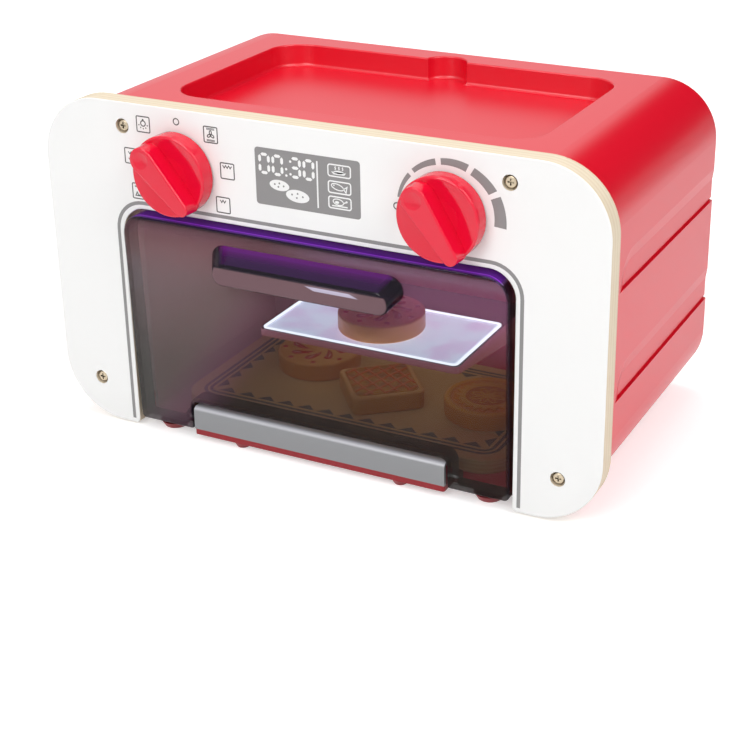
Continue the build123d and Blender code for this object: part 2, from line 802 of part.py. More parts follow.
with BuildPart() as right_knob:
    add(build_knob(dial_x).rotate(dial_axis(dial_x), right_turn))
finish(right_knob, "right_knob")


def build_click_wheel(x):
    """The notched wheel on the inner end of a dial's shaft."""
    with BuildPart() as wheel:
        with BuildSketch(face_at(wheel_front)):
            with Locations((x, dial_height)):
                Circle(wheel_radius)
                with PolarLocations(wheel_radius + 0.7, wheel_notches):
                    Circle(2.0, mode=Mode.SUBTRACT)
                Circle(journal_radius, mode=Mode.SUBTRACT)
        extrude(amount=-wheel_thick)
    return wheel.part


with BuildPart() as left_click_wheel:
    add(build_click_wheel(-dial_x))
finish(left_click_wheel, "left_click_wheel")

with BuildPart() as right_click_wheel:
    add(build_click_wheel(dial_x))
finish(right_click_wheel, "right_click_wheel")

for wheel_name, wheel_x in (("left_wheel_screw", -dial_x), ("right_wheel_screw", dial_x)):
    with BuildPart() as wheel_screw:
        screw(back_at(wheel_rear), [(-wheel_x, dial_height)], 4.4, 1.8, screw_shank,
              wheel_screw_bite - 1)
    finish(wheel_screw, wheel_name)

# leaf springs that click over the wheels' notches; their tips stand just clear of them
spring_foot = 9.0
spring_foot_thick = 1.0
with BuildPart() as click_springs:
    for side in (-1, 1):
        tip_height = spring_height - spring_rise
        start_x = side * (dial_x - spring_reach + spring_foot / 2 - 0.5)
        with BuildSketch(face_at(panel_thick + spring_foot_thick)):
            with BuildLine():
                FilletPolyline((start_x, spring_height), (side * (dial_x - 5), spring_height),
                               (side * dial_x, tip_height), (side * (dial_x + 5), spring_height),
                               (side * (dial_x + 9), spring_height), radius=1.5)
            trace(line_width=spring_thick)
        extrude(amount=-spring_wide)
    # flat feet under the screws, with a turned-up edge that carries the leaf
    for x, height in spring_screw_points:
        with BuildSketch(face_at(panel_thick)):
            with Locations((x, height)):
                RectangleRounded(spring_foot, spring_foot, 2)
                Circle(screw_shank + 0.3, mode=Mode.SUBTRACT)
        extrude(amount=-spring_foot_thick)
        leaf_x = x + (1 if x > 0 else -1) * (spring_foot / 2 - 0.5)
        with BuildSketch(face_at(panel_thick)):
            with Locations((leaf_x, height)):
                Rectangle(1.0, spring_foot - 4)
        extrude(amount=-(spring_foot_thick + spring_wide))
finish(click_springs, "click_springs")

with BuildPart() as switch_board:
    with BuildSketch(face_at(panel_thick)):
        with Locations((board_x, board_height)):
            RectangleRounded(*board_size, 1.5)
        with Locations(*board_screw_points):
            Circle(screw_shank + 0.2, mode=Mode.SUBTRACT)
    extrude(amount=-board_thick)
finish(switch_board, "switch_board")

with BuildPart() as lamp_switch:
    switch_depth = panel_thick + board_thick
    switch_x = board_x - 2.0
    with BuildSketch(face_at(switch_depth)):
        with Locations((switch_x, board_height)):
            Rectangle(switch_size[0], switch_size[1])
    extrude(amount=-switch_size[2])
    fillet(edges().filter_by(Axis.Y), 0.5)
    # plunger that the wheel pushes
    with BuildSketch(side_at(switch_x - switch_size[0] / 2)):
        with Locations((switch_depth + 1.4, board_height)):
            Rectangle(1.6, 3.0)
    extrude(amount=-plunger_reach)
finish(lamp_switch, "lamp_switch")

with BuildPart() as inner_screws:
    screw(back_at(panel_thick + spring_foot_thick), turned(spring_screw_points, (-1, 1)), 2.8, 1.6,
          screw_shank, spring_foot_thick + pilot_deep - 0.5)
    screw(back_at(panel_thick + board_thick), turned(board_screw_points, (-1, 1)), 2.8, 1.6,
          screw_shank, board_thick + pilot_deep - 0.5)
finish(inner_screws, "inner_screws")

# --------------------------------------------------------------------- tray and biscuits

with BuildPart() as baking_tray:
    with BuildSketch(level_at(cavity_floor)):
        with Locations((0, tray_depth)):
            RectangleRounded(*tray_size, tray_corner)
    extrude(amount=tray_thick)
    fillet(faces().filter_by(Axis.Z).edges(), 1.0)
finish(baking_tray, "baking_tray")


with BuildPart() as berry_biscuit:
    with BuildSketch(level_at(tray_top)):
        with Locations((-52, 98)):
            Circle(27.0)
    extrude(amount=biscuit_thick)
    fillet(faces().filter_by(Axis.Z).edges(), biscuit_round)
finish(berry_biscuit, "berry_biscuit")

with BuildPart() as waffle_biscuit:
    with BuildSketch(level_at(tray_top)):
        with Locations(Location((7, 72, 0), 40)):
            RectangleRounded(46, 46, 5)
    extrude(amount=biscuit_thick)
    fillet(faces().filter_by(Axis.Z).edges(), biscuit_round)
finish(waffle_biscuit, "waffle_biscuit")

with BuildPart() as petal_biscuit:
    with BuildSketch(level_at(tray_top)):
        with Locations((76, 81)):
            Circle(27.0)
    extrude(amount=biscuit_thick)
    fillet(faces().filter_by(Axis.Z).edges(), biscuit_round)
finish(petal_biscuit, "petal_biscuit")

with BuildPart() as warming_biscuit:
    with BuildSketch(level_at(shelf_top)):
        with Locations((0, 87)):
            Circle(27.5)
    extrude(amount=biscuit_thick)
    fillet(faces().filter_by(Axis.Z).edges(), biscuit_round)
finish(warming_biscuit, "warming_biscuit")
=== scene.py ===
"""The looks of a toy table-top oven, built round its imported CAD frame.

Metres, +Z up. Flat drawings are in millimetres: across, and up or backwards.
"""
from math import cos, pi, radians, sin
import bmesh
import bpy
from bpy.props import FloatProperty, FloatVectorProperty, PointerProperty
from mathutils import Matrix, Vector
from mathutils.geometry import tessellate_polygon


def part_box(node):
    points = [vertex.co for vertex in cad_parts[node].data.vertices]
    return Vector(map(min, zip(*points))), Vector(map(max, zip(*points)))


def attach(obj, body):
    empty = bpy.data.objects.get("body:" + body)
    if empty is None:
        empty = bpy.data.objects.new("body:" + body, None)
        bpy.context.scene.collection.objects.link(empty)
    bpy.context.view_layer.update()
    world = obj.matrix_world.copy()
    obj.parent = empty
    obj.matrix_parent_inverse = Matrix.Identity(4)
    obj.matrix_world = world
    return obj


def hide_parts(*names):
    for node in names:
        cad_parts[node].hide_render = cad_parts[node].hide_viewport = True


bl_info = {
    "name": "Toy oven",
    "version": (1, 0, 0),
    "blender": (4, 5, 0),
    "location": "View3D > Sidebar > Toy oven",
    "description": "Builds the finish of a toy oven round its CAD frame",
    "category": "Object",
}

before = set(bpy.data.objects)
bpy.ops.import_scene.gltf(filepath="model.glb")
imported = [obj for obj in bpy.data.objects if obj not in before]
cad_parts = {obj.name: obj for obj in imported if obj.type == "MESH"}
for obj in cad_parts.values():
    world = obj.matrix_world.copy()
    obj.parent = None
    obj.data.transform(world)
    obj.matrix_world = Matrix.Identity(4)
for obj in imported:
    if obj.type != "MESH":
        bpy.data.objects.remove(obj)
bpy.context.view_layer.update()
mm = 0.001
front_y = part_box("front_panel")[0].y
door_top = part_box("door")[1].z
# heights and thicknesses in millimetres
tray_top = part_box("baking_tray")[1].z / mm
shelf_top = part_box("light_plate")[1].z / mm
panel_thick = 12.5
tray_thick = 9.0
biscuit_thick = 12.0
biscuit_top = tray_top + biscuit_thick
warming_top = shelf_top + biscuit_thick


def at(depth):
    """The Y of a place that lies depth millimetres behind the panel's face."""
    return front_y + depth * mm


# ---- materials


def new_material(name):
    """An empty material with a Principled shader; returns it with its nodes and shader."""
    material = bpy.data.materials.new(name)
    material.use_nodes = True
    tree = material.node_tree
    tree.nodes.clear()
    output = tree.nodes.new("ShaderNodeOutputMaterial")
    shader = tree.nodes.new("ShaderNodeBsdfPrincipled")
    tree.links.new(shader.outputs["BSDF"], output.inputs["Surface"])
    return material, tree, shader


def fill(socket, value):
    """Link a socket to another one or give it a plain value; a colour gets its alpha."""
    if isinstance(value, bpy.types.NodeSocket):
        socket.id_data.links.new(value, socket)
    elif socket.type == "RGBA":
        socket.default_value = (*value, 1)
    else:
        socket.default_value = value


def set_inputs(node, **values):
    """Fill a node's sockets by name, with underscores for spaces."""
    for key, value in values.items():
        fill(node.inputs[key.replace("_", " ")], value)


def new_node(kind, *values):
    """A node beside the first socket among some values."""
    tree = next(value.id_data for value in values if isinstance(value, bpy.types.NodeSocket))
    return tree.nodes.new(kind)


def object_position(tree, scale=(1.0, 1.0, 1.0)):
    """The object's own coordinates, scaled."""
    coordinates = tree.nodes.new("ShaderNodeTexCoord")
    mapping = tree.nodes.new("ShaderNodeMapping")
    set_inputs(mapping, Vector=coordinates.outputs["Object"], Scale=scale)
    return mapping.outputs["Vector"]


def along(vector, axis):
    """One part of a vector: X, Y or Z."""
    node = new_node("ShaderNodeSeparateXYZ", vector)
    set_inputs(node, Vector=vector)
    return node.outputs[axis]


def normal(tree, axis):
    """The part of the surface's normal that lies along one of the object's axes."""
    return along(tree.nodes.new("ShaderNodeTexCoord").outputs["Normal"], axis)


def calculate(operation, *values):
    """A Math node over sockets or plain numbers."""
    node = new_node("ShaderNodeMath", *values)
    node.operation = operation
    for socket, value in zip(node.inputs, values):
        fill(socket, value)
    return node.outputs["Value"]


def facing(tree, axis):
    """How squarely the surface looks along an axis, either way."""
    return calculate("ABSOLUTE", normal(tree, axis))


def joined_by(operation):
    """A function that joins two or more values by one operation."""
    def joined(first, *others):
        for other in others:
            first = calculate(operation, first, other)
        return first
    return joined


times = joined_by("MULTIPLY")
plus = joined_by("ADD")
greatest = joined_by("MAXIMUM")


def ramp(value, start, end, low=0.0, high=1.0, kind="LINEAR"):
    """Low up to start and high from end on; start may be the greater of the two."""
    node = new_node("ShaderNodeMapRange", value)
    node.interpolation_type = kind
    set_inputs(node, Value=value, From_Min=start, From_Max=end, To_Min=low, To_Max=high)
    return node.outputs["Result"]


def rise(value, start, end):
    """0 up to start and 1 from end on, with a smooth change between."""
    return ramp(value, start, end, kind="SMOOTHSTEP")


def between(value, low, high):
    """A noise texture's usual values, 0.3 to 0.7, spread over low to high."""
    return ramp(value, 0.3, 0.7, low, high)


def blend(factor, first, second, kind="MIX"):
    """Mix two colours, each a plain colour or a socket."""
    node = new_node("ShaderNodeMix", factor, first, second)
    node.data_type = "RGBA"
    node.blend_type = kind
    for place, value in (("Factor", factor), (6, first), (7, second)):
        fill(node.inputs[place], value)
    return node.outputs[2]


def noise(vector, scale, detail=2.0, roughness=0.5):
    """A noise texture read at a vector."""
    node = new_node("ShaderNodeTexNoise", vector)
    set_inputs(node, Vector=vector, Scale=scale, Detail=detail, Roughness=roughness)
    return node.outputs["Fac"]


def bump(shader, height, strength, distance):
    """Raise the shader's surface by a height."""
    node = new_node("ShaderNodeBump", height)
    set_inputs(node, Strength=strength, Distance=distance, Height=height)
    set_inputs(shader, Normal=node.outputs["Normal"])


def darker(colour, share):
    """The colour with a share of it taken away."""
    return tuple(part * (1 - share) for part in colour)


# the fine grain that a mould leaves
grain_scale = 1400.0
grain_depth = 0.00004


def moulded(name, colour, rough, grain=0.1, uneven=0.04, shine=0.5):
    """Moulded plastic: fine mould grain and a colour that is very slightly uneven."""
    material, tree, shader = new_material(name)
    place = object_position(tree)
    patches = rise(noise(place, scale=9.0, detail=1.0), 0.2, 0.8)
    set_inputs(shader, Base_Color=blend(patches, darker(colour, uneven), colour),
               Roughness=rough, Specular_IOR_Level=shine)
    if grain:
        bump(shader, noise(place, grain_scale, detail=1.0), grain, grain_depth)
    return material


def plain(name, colour, rough, **more):
    """One even colour, for dials, print, jelly and lamps."""
    material, _, shader = new_material(name)
    set_inputs(shader, Base_Color=colour, Roughness=rough, **more)
    return material


def metal(name, colour, rough, recess_shade=0.0):
    """Plated metal with fine scratches, and painted shade: faces that don't look front or rear,
    such as the walls of a screw's cross, are darkened by the given share.
    """
    material, tree, shader = new_material(name)
    scratch = noise(object_position(tree, (1.0, 1.0, 6.0)), scale=900.0, detail=3.0)
    scratched = blend(scratch, darker(colour, 0.3), colour)
    shaded_turn = rise(facing(tree, "Y"), 0.9, 0.6)
    # Painted shade in hollows that turn away from front and rear.
    set_inputs(shader, Base_Color=blend(shaded_turn, scratched, darker(colour, recess_shade)),
               Roughness=between(scratch, rough * 0.8, rough * 1.3), Metallic=1.0)
    return material


# plywood: how many plies an edge shows, how dark they and the streaks are, and its paint
plies = 3.5
ply_contrast = 0.55
fine_streaks, broad_streaks = 0.35, 0.25
paint_thick = 0.3
tray_pale, tray_dark = (0.78, 0.54, 0.28), (0.58, 0.34, 0.14)
panel_pale, panel_dark = (0.78, 0.68, 0.525), (0.64, 0.50, 0.34)


def birch(tree, across, low, high):
    """Plywood's plies from low to high, its streaks, and its grain, which runs along X."""
    grain = noise(object_position(tree, (0.06, 1.0, 1.0)), scale=260.0, detail=4.0, roughness=0.6)
    broad = noise(object_position(tree, (0.15, 1.0, 1.0)), scale=30.0)
    turns = times(calculate("SUBTRACT", across, low), 2 * pi * plies / (high - low))
    layer = times(rise(calculate("SINE", turns), -0.2, 0.4), ply_contrast)
    streak = plus(between(grain, 0.0, fine_streaks), between(broad, 0.0, broad_streaks))
    return layer, streak, grain


def painted_panel(paint):
    """White lacquer on the plywood's face, with its cut edges bare."""
    material, tree, shader = new_material("Painted plywood")
    depth = along(object_position(tree), "Y")
    layer, streak, grain = birch(tree, depth, front_y, at(panel_thick))
    wood = blend(plus(times(layer, 0.6), times(streak, 0.4)), panel_pale, panel_dark)
    bare = rise(depth, at(paint_thick), at(paint_thick * 1.5))
    set_inputs(shader, Base_Color=blend(bare, paint, wood), Roughness=plus(times(bare, 0.3), 0.34))
    bump(shader, times(grain, bare), strength=0.12, distance=0.0001)
    return material


def bare_board():
    """The tray's board: sealed birch plywood with plies round its edge."""
    material, tree, shader = new_material("Birch plywood")
    height = along(object_position(tree), "Z")
    layer, streak, grain = birch(tree, height, (tray_top - tray_thick) * mm, tray_top * mm)
    edge = calculate("SUBTRACT", 1.0, facing(tree, "Z"))
    dark = plus(times(layer, rise(edge, 0.3, 0.8)), times(streak, 0.5))
    set_inputs(shader, Base_Color=blend(dark, tray_pale, tray_dark),
               Roughness=between(grain, 0.48, 0.6))
    bump(shader, grain, strength=0.15, distance=0.0001)
    return material


def baked(name, top_colour, side_colour, top):
    """A biscuit's satin paint: paler on top, with the side's colour rubbed over the edge."""
    material, tree, shader = new_material(name)
    place = object_position(tree)
    cloud = noise(place, scale=45.0, detail=3.0)
    above = rise(along(place, "Z"), (top - 1.2) * mm, (top - 0.2) * mm)
    shade = blend(between(cloud, 0.0, 1.0), (1.0, 1.0, 1.0), (0.90, 0.84, 0.76))
    colour = blend(1.0, blend(above, side_colour, top_colour), shade, "MULTIPLY")
    set_inputs(shader, Base_Color=colour, Roughness=0.42, Coat_Weight=0.25, Coat_Roughness=0.2)
    bump(shader, cloud, strength=0.08, distance=0.0003)
    return material


glaze_brown, glaze_amber = (0.45, 0.15, 0.03), (0.72, 0.32, 0.05)


def glazed():
    """The waffle's glaze: amber that is browner in patches."""
    material, tree, shader = new_material("Waffle glaze")
    patches = rise(noise(object_position(tree), scale=130.0), 0.35, 0.65)
    set_inputs(shader, Base_Color=blend(patches, glaze_brown, glaze_amber), Roughness=0.25,
               Coat_Weight=0.4)
    return material


def dress(material, *nodes):
    """Give CAD nodes their material."""
    for node in nodes:
        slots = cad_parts[node].data.materials
        slots.clear()
        slots.append(material)


# ---- flat outlines


def circle(x, z, radius, count=32, squash=1.0, turn=0.0):
    """Points round a circle or an ellipse."""
    points = []
    for step in range(count):
        angle = 2 * pi * step / count
        u, v = radius * cos(angle), radius * squash * sin(angle)
        points.append((x + u * cos(turn) - v * sin(turn), z + u * sin(turn) + v * cos(turn)))
    return points


def rounded(x0, z0, x1, z1, radius, count=6):
    """Points round a rectangle with round corners."""
    points = []
    for x, z, start in ((x1 - radius, z1 - radius, 0), (x0 + radius, z1 - radius, 90),
                        (x0 + radius, z0 + radius, 180), (x1 - radius, z0 + radius, 270)):
        for step in range(count + 1):
            angle = radians(start + 90 * step / count)
            points.append((x + radius * cos(angle), z + radius * sin(angle)))
    return points


def sweep(x, z, inner, outer, start, end, count=10):
    """A band of a ring whose radii change evenly from start to end, in degrees."""
    near, far = [], []
    for step in range(count + 1):
        share = step / count
        angle = radians(start + (end - start) * share)
        for points, (first, last) in ((near, inner), (far, outer)):
            radius = first + (last - first) * share
            points.append((x + radius * cos(angle), z + radius * sin(angle)))
    return near + far[::-1]


def stroke(path, width, closed=False):
    """The loops round a line of even width that follows a path."""
    count = len(path)
    left, right = [], []
    for index, (x, z) in enumerate(path):
        before = path[index - 1] if closed or index else path[index]
        after = path[(index + 1) % count] if closed or index < count - 1 else path[index]
        first = Vector((x - before[0], z - before[1]))
        second = Vector((after[0] - x, after[1] - z))
        first = (first if first.length > 1e-6 else second).normalized()
        second = (second if second.length > 1e-6 else first).normalized()
        middle = (first + second).normalized()
        reach = width / 2 / max(middle.dot(first), 0.3)
        left.append((x - middle.y * reach, z + middle.x * reach))
        right.append((x + middle.y * reach, z - middle.x * reach))
    if closed:
        return [left, right]
    return [left + right[::-1]]


def upright(x, z, offset=0.0):
    """A place on the panel's face, offset millimetres in front of it."""
    return Vector((x * mm, front_y - offset * mm, z * mm))


def flat(u, v, offset=0.0):
    """A place in millimetres, level and measured from the origin."""
    return Vector((u * mm, v * mm, offset * mm))


def about(x, depth, height, turn=0.0):
    """Places on a level surface, measured from a turned centre."""
    def place(u, v, offset=0.0):
        return Vector(((x + u * cos(turn) - v * sin(turn)) * mm,
                       at(depth + u * sin(turn) + v * cos(turn)), (height + offset) * mm))
    return place


# ---- closed shapes


def closed_mesh(points, faces):
    """A mesh from points and faces, with its normals made to point outwards."""
    mesh = bpy.data.meshes.new("shape")
    mesh.from_pydata([tuple(point) for point in points], [], faces)
    shape = bmesh.new()
    shape.from_mesh(mesh)
    bmesh.ops.recalc_face_normals(shape, faces=shape.faces)
    shape.to_mesh(mesh)
    shape.free()
    return mesh


def walls(start, count, further):
    """Faces from a ring of count points to the same ring, further points on."""
    faces = []
    for index in range(count):
        here, there = start + index, start + (index + 1) % count
        faces.append((here, there, there + further, here + further))
    return faces


def prism(loops, low, high, place):
    """A flat shape, with holes after its outer loop, given a thickness."""
    outline = [point for loop in loops for point in loop]
    count = len(outline)
    caps = tessellate_polygon([[Vector((*point, 0)) for point in loop] for loop in loops])
    points = [place(*point, offset) for offset in (low, high) for point in outline]
    faces = [tuple(cap) for cap in caps]
    faces += [tuple(index + count for index in reversed(cap)) for cap in caps]
    start = 0
    for loop in loops:
        faces += walls(start, len(loop), count)
        start += len(loop)
    return closed_mesh(points, faces)


def tube(points, count):
    """A closed shape through rings of count points each."""
    last = len(points) - count
    faces = [tuple(range(count))[::-1], tuple(range(last, len(points)))]
    for start in range(0, last, count):
        faces += walls(start, count, count)
    return closed_mesh(points, faces)


def stack(rings, place):
    """A closed shape through outlines of equal length, each (points, offset)."""
    points = [place(*point, offset) for outline, offset in rings for point in outline]
    return tube(points, len(rings[0][0]))


def dome(path, widths, high, place, sunk=0.2):
    """A rounded drop along a path, with a half width at each of its points."""
    profile = [(-1.0, 0.0), (-0.86, 0.5), (-0.5, 0.87), (0.0, 1.0), (0.5, 0.87), (0.86, 0.5),
               (1.0, 0.0), (1.0, -sunk / high), (-1.0, -sunk / high)]
    points = []
    for index, (x, z) in enumerate(path):
        before, after = path[max(index - 1, 0)], path[min(index + 1, len(path) - 1)]
        ahead = Vector((after[0] - before[0], after[1] - before[1])).normalized()
        for share, lift in profile:
            reach = share * widths[index]
            tall = lift if lift < 0 else lift * min(1.0, widths[index] / max(widths) + 0.3)
            points.append(place(x - ahead.y * reach, z + ahead.x * reach, tall * high))
    return tube(points, len(profile))


def add_object(name, data):
    """Put a new object into the scene."""
    thing = bpy.data.objects.new(name, data)
    bpy.context.scene.collection.objects.link(thing)
    return thing


def repeat_tree():
    """The node tree that repeats its own mesh along a row or round a ring."""
    tree = bpy.data.node_groups.new("Repeat", "GeometryNodeTree")
    for name, kind in (("Geometry", "Geometry"), ("Count", "Int"), ("Step", "Vector"),
                       ("Turn", "Float"), ("Turn step", "Float"), ("Centre", "Vector"),
                       ("Material", "Material")):
        tree.interface.new_socket(name, in_out="INPUT", socket_type="NodeSocket" + kind)
    tree.interface.new_socket("Geometry", in_out="OUTPUT", socket_type="NodeSocketGeometry")
    new = tree.nodes.new
    given = new("NodeGroupInput").outputs
    index = new("GeometryNodeInputIndex").outputs[0]
    step = new("ShaderNodeVectorMath")
    step.operation = "SCALE"
    set_inputs(step, Vector=given["Step"], Scale=index)
    angles = new("ShaderNodeCombineXYZ")
    set_inputs(angles, Z=calculate("MULTIPLY_ADD", index, given["Turn step"], given["Turn"]))
    rotation = new("FunctionNodeEulerToRotation")
    fill(rotation.inputs[0], angles.outputs[0])
    points = new("GeometryNodePoints")
    set_inputs(points, Count=given["Count"], Position=step.outputs["Vector"])
    copies = new("GeometryNodeInstanceOnPoints")
    set_inputs(copies, Instance=given["Geometry"], Rotation=rotation.outputs[0])
    placed = new("GeometryNodeTransform")
    set_inputs(placed, Translation=given["Centre"])
    painted = new("GeometryNodeSetMaterial")
    set_inputs(painted, Material=given["Material"])
    chain = (points, copies, new("GeometryNodeRealizeInstances"), placed, painted,
             new("NodeGroupOutput"))
    for start, end in zip(chain, chain[1:]):
        tree.links.new(start.outputs[0], end.inputs[0])
    return tree


def repeated(mesh, material, count, centre=(0, 0, 0), step=(0, 0, 0), turn=0.0, turn_step=0.0):
    """The mesh repeated by the node tree, as one plain mesh."""
    tree = bpy.data.node_groups.get("Repeat") or repeat_tree()
    source = add_object("repeat", mesh)
    modifier = source.modifiers.new("Repeat", "NODES")
    modifier.node_group = tree
    wanted = {"Count": count, "Step": step, "Turn": turn, "Turn step": turn_step,
              "Centre": centre, "Material": material}
    for socket in tree.interface.items_tree:
        if socket.in_out == "INPUT" and socket.name in wanted:
            modifier[socket.identifier] = wanted[socket.name]
    evaluated = source.evaluated_get(bpy.context.evaluated_depsgraph_get())
    result = bpy.data.meshes.new_from_object(evaluated)
    source.modifiers.clear()
    bpy.data.objects.remove(source)
    return result


def make_piece(name, body, shapes, crease=40.0):
    """Join closed shapes, each (mesh, material), into one object that rides on a body."""
    mesh = bpy.data.meshes.new(name)
    whole = bmesh.new()
    materials = []
    for shape, material in shapes:
        if material not in materials:
            materials.append(material)
        start = len(whole.faces)
        whole.from_mesh(shape)
        whole.faces.ensure_lookup_table()
        for face in whole.faces[start:]:
            face.material_index = materials.index(material)
            face.smooth = True
    whole.to_mesh(mesh)
    whole.free()
    mesh.set_sharp_from_angle(angle=radians(crease))
    for material in materials:
        mesh.materials.append(material)
    piece = add_object(name, mesh)
    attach(piece, body)
    return piece


# ---- properties

any_colour = {"subtype": "COLOR", "size": 3, "min": 0, "max": 1}


class OvenLooks(bpy.types.PropertyGroup):
    """The colours and sizes that a user would change."""
    casing: FloatVectorProperty(name="Casing", description="Colour of the red mouldings",
                                default=(0.68, 0.002, 0.018), **any_colour)
    dial: FloatVectorProperty(name="Dials", description="Colour of the dials",
                              default=(0.70, 0.002, 0.028), **any_colour)
    paint: FloatVectorProperty(name="Paint", description="Colour of the panel's face",
                               default=(0.82, 0.82, 0.812), **any_colour)
    ink: FloatVectorProperty(name="Print", description="Colour of the grey print",
                             default=(0.235, 0.228, 0.228), **any_colour)
    smoke: FloatVectorProperty(name="Smoke", description="Tint of the door's plastic",
                               default=(0.02, 0.014, 0.011), **any_colour)
    glow: FloatProperty(name="Glow", description="Brightness of the lit shelf",
                        min=0, max=10, default=1.6)
    print_width: FloatProperty(name="Line", description="Width of the thin printed lines",
                               subtype="DISTANCE", min=0.0001, max=0.002, default=0.0007)
    floor: FloatVectorProperty(name="Floor", description="Colour of the floor",
                               default=(0.8, 0.8, 0.8), **any_colour)


def looks():
    """The settings of the scene in use."""
    return bpy.context.scene.oven_looks


# ---- the casing


class OVEN_OT_casing(bpy.types.Operator):
    """Give the red mouldings their satin finish, with painted shade on the base plate"""
    bl_idname = "oven.casing"
    bl_label = "Casing"

    def execute(self, context):
        red = moulded("Casing red", looks().casing, rough=0.32, uneven=0.02, shine=0.68)
        dress(red, "outer_casing", "battery_hatch")
        # The base plate's red is darkened as painted shade, for the shade under the oven.
        dress(moulded("Shaded base red", darker(looks().casing, 0.62), rough=0.4), "base_plate")
        return {"FINISHED"}


# ---- the panel and its print

# places are across and up, boxes are left, foot, right and top
right_dial = (85.4, 172.8)
opening_box = (-130.85, -40.0, 130.85, 149.85)
opening_corner = 18.8
stripe_width = 2.2
# the stripe's foot, and the height above which it follows the opening's corners
stripe_foot, stripe_bend = 4.5, 60
plate_box = (-32.7, 161.7, 34.2, 195.3)
plate_corner = 2.0
print_layer = (-0.05, 0.04)
figure_layer = (0.02, 0.08)
digit_places = (-26.7, -18.1, -6.7, 1.9)
segment_places = {"top": (0, 191.4), "upper left": (-2.85, 188.9), "upper right": (2.85, 188.9),
                  "middle": (0, 186.0), "lower left": (-2.85, 183.4), "lower right": (2.85, 183.4),
                  "bottom": (0, 180.7)}
zero = ("top", "upper left", "upper right", "lower left", "lower right", "bottom")
three = ("top", "upper right", "middle", "lower right", "bottom")
button_boxes = [(14.2, low, 28.2, low + 6.7) for low in (184.7, 175.1, 166.2)]
# the bands round the right dial: first and last angle, outer and inner radii at both ends
ring_bands = [(168.4, 137.4), (131.2, 101.3), (95.1, 65.0), (59.0, 30.0), (24.5, -5.0)]
ring_reach = [(29.2, 30.1), (30.2, 31.0), (31.1, 32.6), (33.0, 34.7), (35.2, 35.8)]
ring_inner = [(27.6, 27.4), (27.6, 27.4), (27.5, 28.0), (28.1, 29.1), (29.1, 28.7)]
sign_places = {"bulb": (-112.1, 193.9), "fan": (-66.0, 193.5), "grill": (-56.0, 173.3),
               "small grill": (-60.0, 152.4), "both": (-122.1, 173.6), "heat": (-118.5, 152.4)}
box_size = (9.0, 9.3)
zero_marks = ((56.4, 173.2), (-84.5, 203.0))
figure_dots = ((-12.5, 184.6), (-12.5, 180.9), (-9.7, 189.4), (-9.8, 182.0))
# two round dishes on the display: middle, radius and the holes in them
plates = (((-17.3, 174.4), 6.4, ((-20.3, 174.8), (-17.3, 175.6), (-18.0, 173.5), (-14.6, 174.2))),
          ((-5.7, 169.6), 7.5, ((-9.3, 170.2), (-5.7, 171.1), (-6.3, 168.6), (-2.4, 169.6))))


def segment(x, z, tall):
    """One pointed segment of a figure."""
    half, wide = 2.2, 0.9
    shape = [(-half, 0), (-half * 0.55, wide), (half * 0.55, wide), (half, 0),
             (half * 0.55, -wide), (-half * 0.55, -wide)]
    return [(x + (v if tall else u), z + (u if tall else v)) for u, v in shape]


def wave(x, z, length, high, teeth):
    """A zigzag line that starts at a point and runs to the right."""
    return [(x + length * step / (2 * teeth), z - (high if step % 2 else 0))
            for step in range(2 * teeth + 1)]


def door_stripe():
    """The broad stripe beside and over the door opening, open at its foot."""
    left, _, right, _ = opening_box
    bend = [point for point in rounded(*opening_box, opening_corner, 10) if point[1] > stripe_bend]
    return stroke([(right, stripe_foot)] + bend + [(left, stripe_foot)], stripe_width)


def grey_shapes():
    """The display's plate, the stripe round the door and the bands round the right dial."""
    shapes = [[rounded(*plate_box, plate_corner)], door_stripe()]
    for band, reach, inner in zip(ring_bands, ring_reach, ring_inner):
        shapes.append([sweep(*right_dial, inner, reach, *band)])
    return shapes


def shifted(loops, x, z):
    """Loops moved across and up."""
    return [[(u + x, v + z) for u, v in loop] for loop in loops]


def signs(line):
    """The cooking signs, each drawn from the lower left corner of its box."""
    rays, blades = [], []
    for angle in (200, 235, 270, 305, 340):
        u, v = cos(radians(angle)), sin(radians(angle))
        rays.append([(4.5 + u * reach, 5.2 + v * reach) for reach in (2.7, 3.5)])
    for angle in (90, 210, 330):
        u, v = cos(radians(angle)), sin(radians(angle))
        blades.append(circle(4.5 + u * 1.35, 4.6 + v * 1.35, 1.15, 16, 0.62, radians(angle)))
    return {
        "bulb": [stroke(circle(4.5, 5.2, 1.6), line, True), [rounded(3.9, 6.7, 5.1, 7.9, 0.3, 2)]]
        + [stroke(ray, line) for ray in rays],
        "fan": [stroke(blade, line * 0.9, True) for blade in blades]
        + [stroke([(1.8, up), (7.2, up)], line * 0.6) for up in (0.95, 1.6, 7.7, 8.35)],
        "grill": [stroke(wave(1.5, 7.9, 6.0, 1.5, 3), line * 0.8)],
        "small grill": [stroke(wave(2.6, 7.6, 3.8, 1.5, 2), line * 0.8)],
        "both": [stroke(wave(2.5, up, 4.0, 1.4, 2), line * 0.8) for up in (7.2, 3.2)],
        "heat": [stroke([(1.7, 7.6), (3.2, 7.1)], line)]
        + [stroke([(left, 1.8), (left + 2.2, 1.8), (left + 1.1, 4.0)], line * 0.9, True)
           for left in (2.0, 4.6)],
    }


def sign_shapes(line):
    """The two zero marks and the boxed signs round the left dial."""
    shapes = [stroke(circle(*place, 1.85), line, True) for place in zero_marks]
    box = stroke(rounded(0, 0, *box_size, 0.7, 3), line, True)
    shapes += [shifted(box, *place) for place in sign_places.values()]
    drawn = signs(line)
    return shapes + [shifted(loops, *place) for name, place in sign_places.items()
                     for loops in drawn[name]]


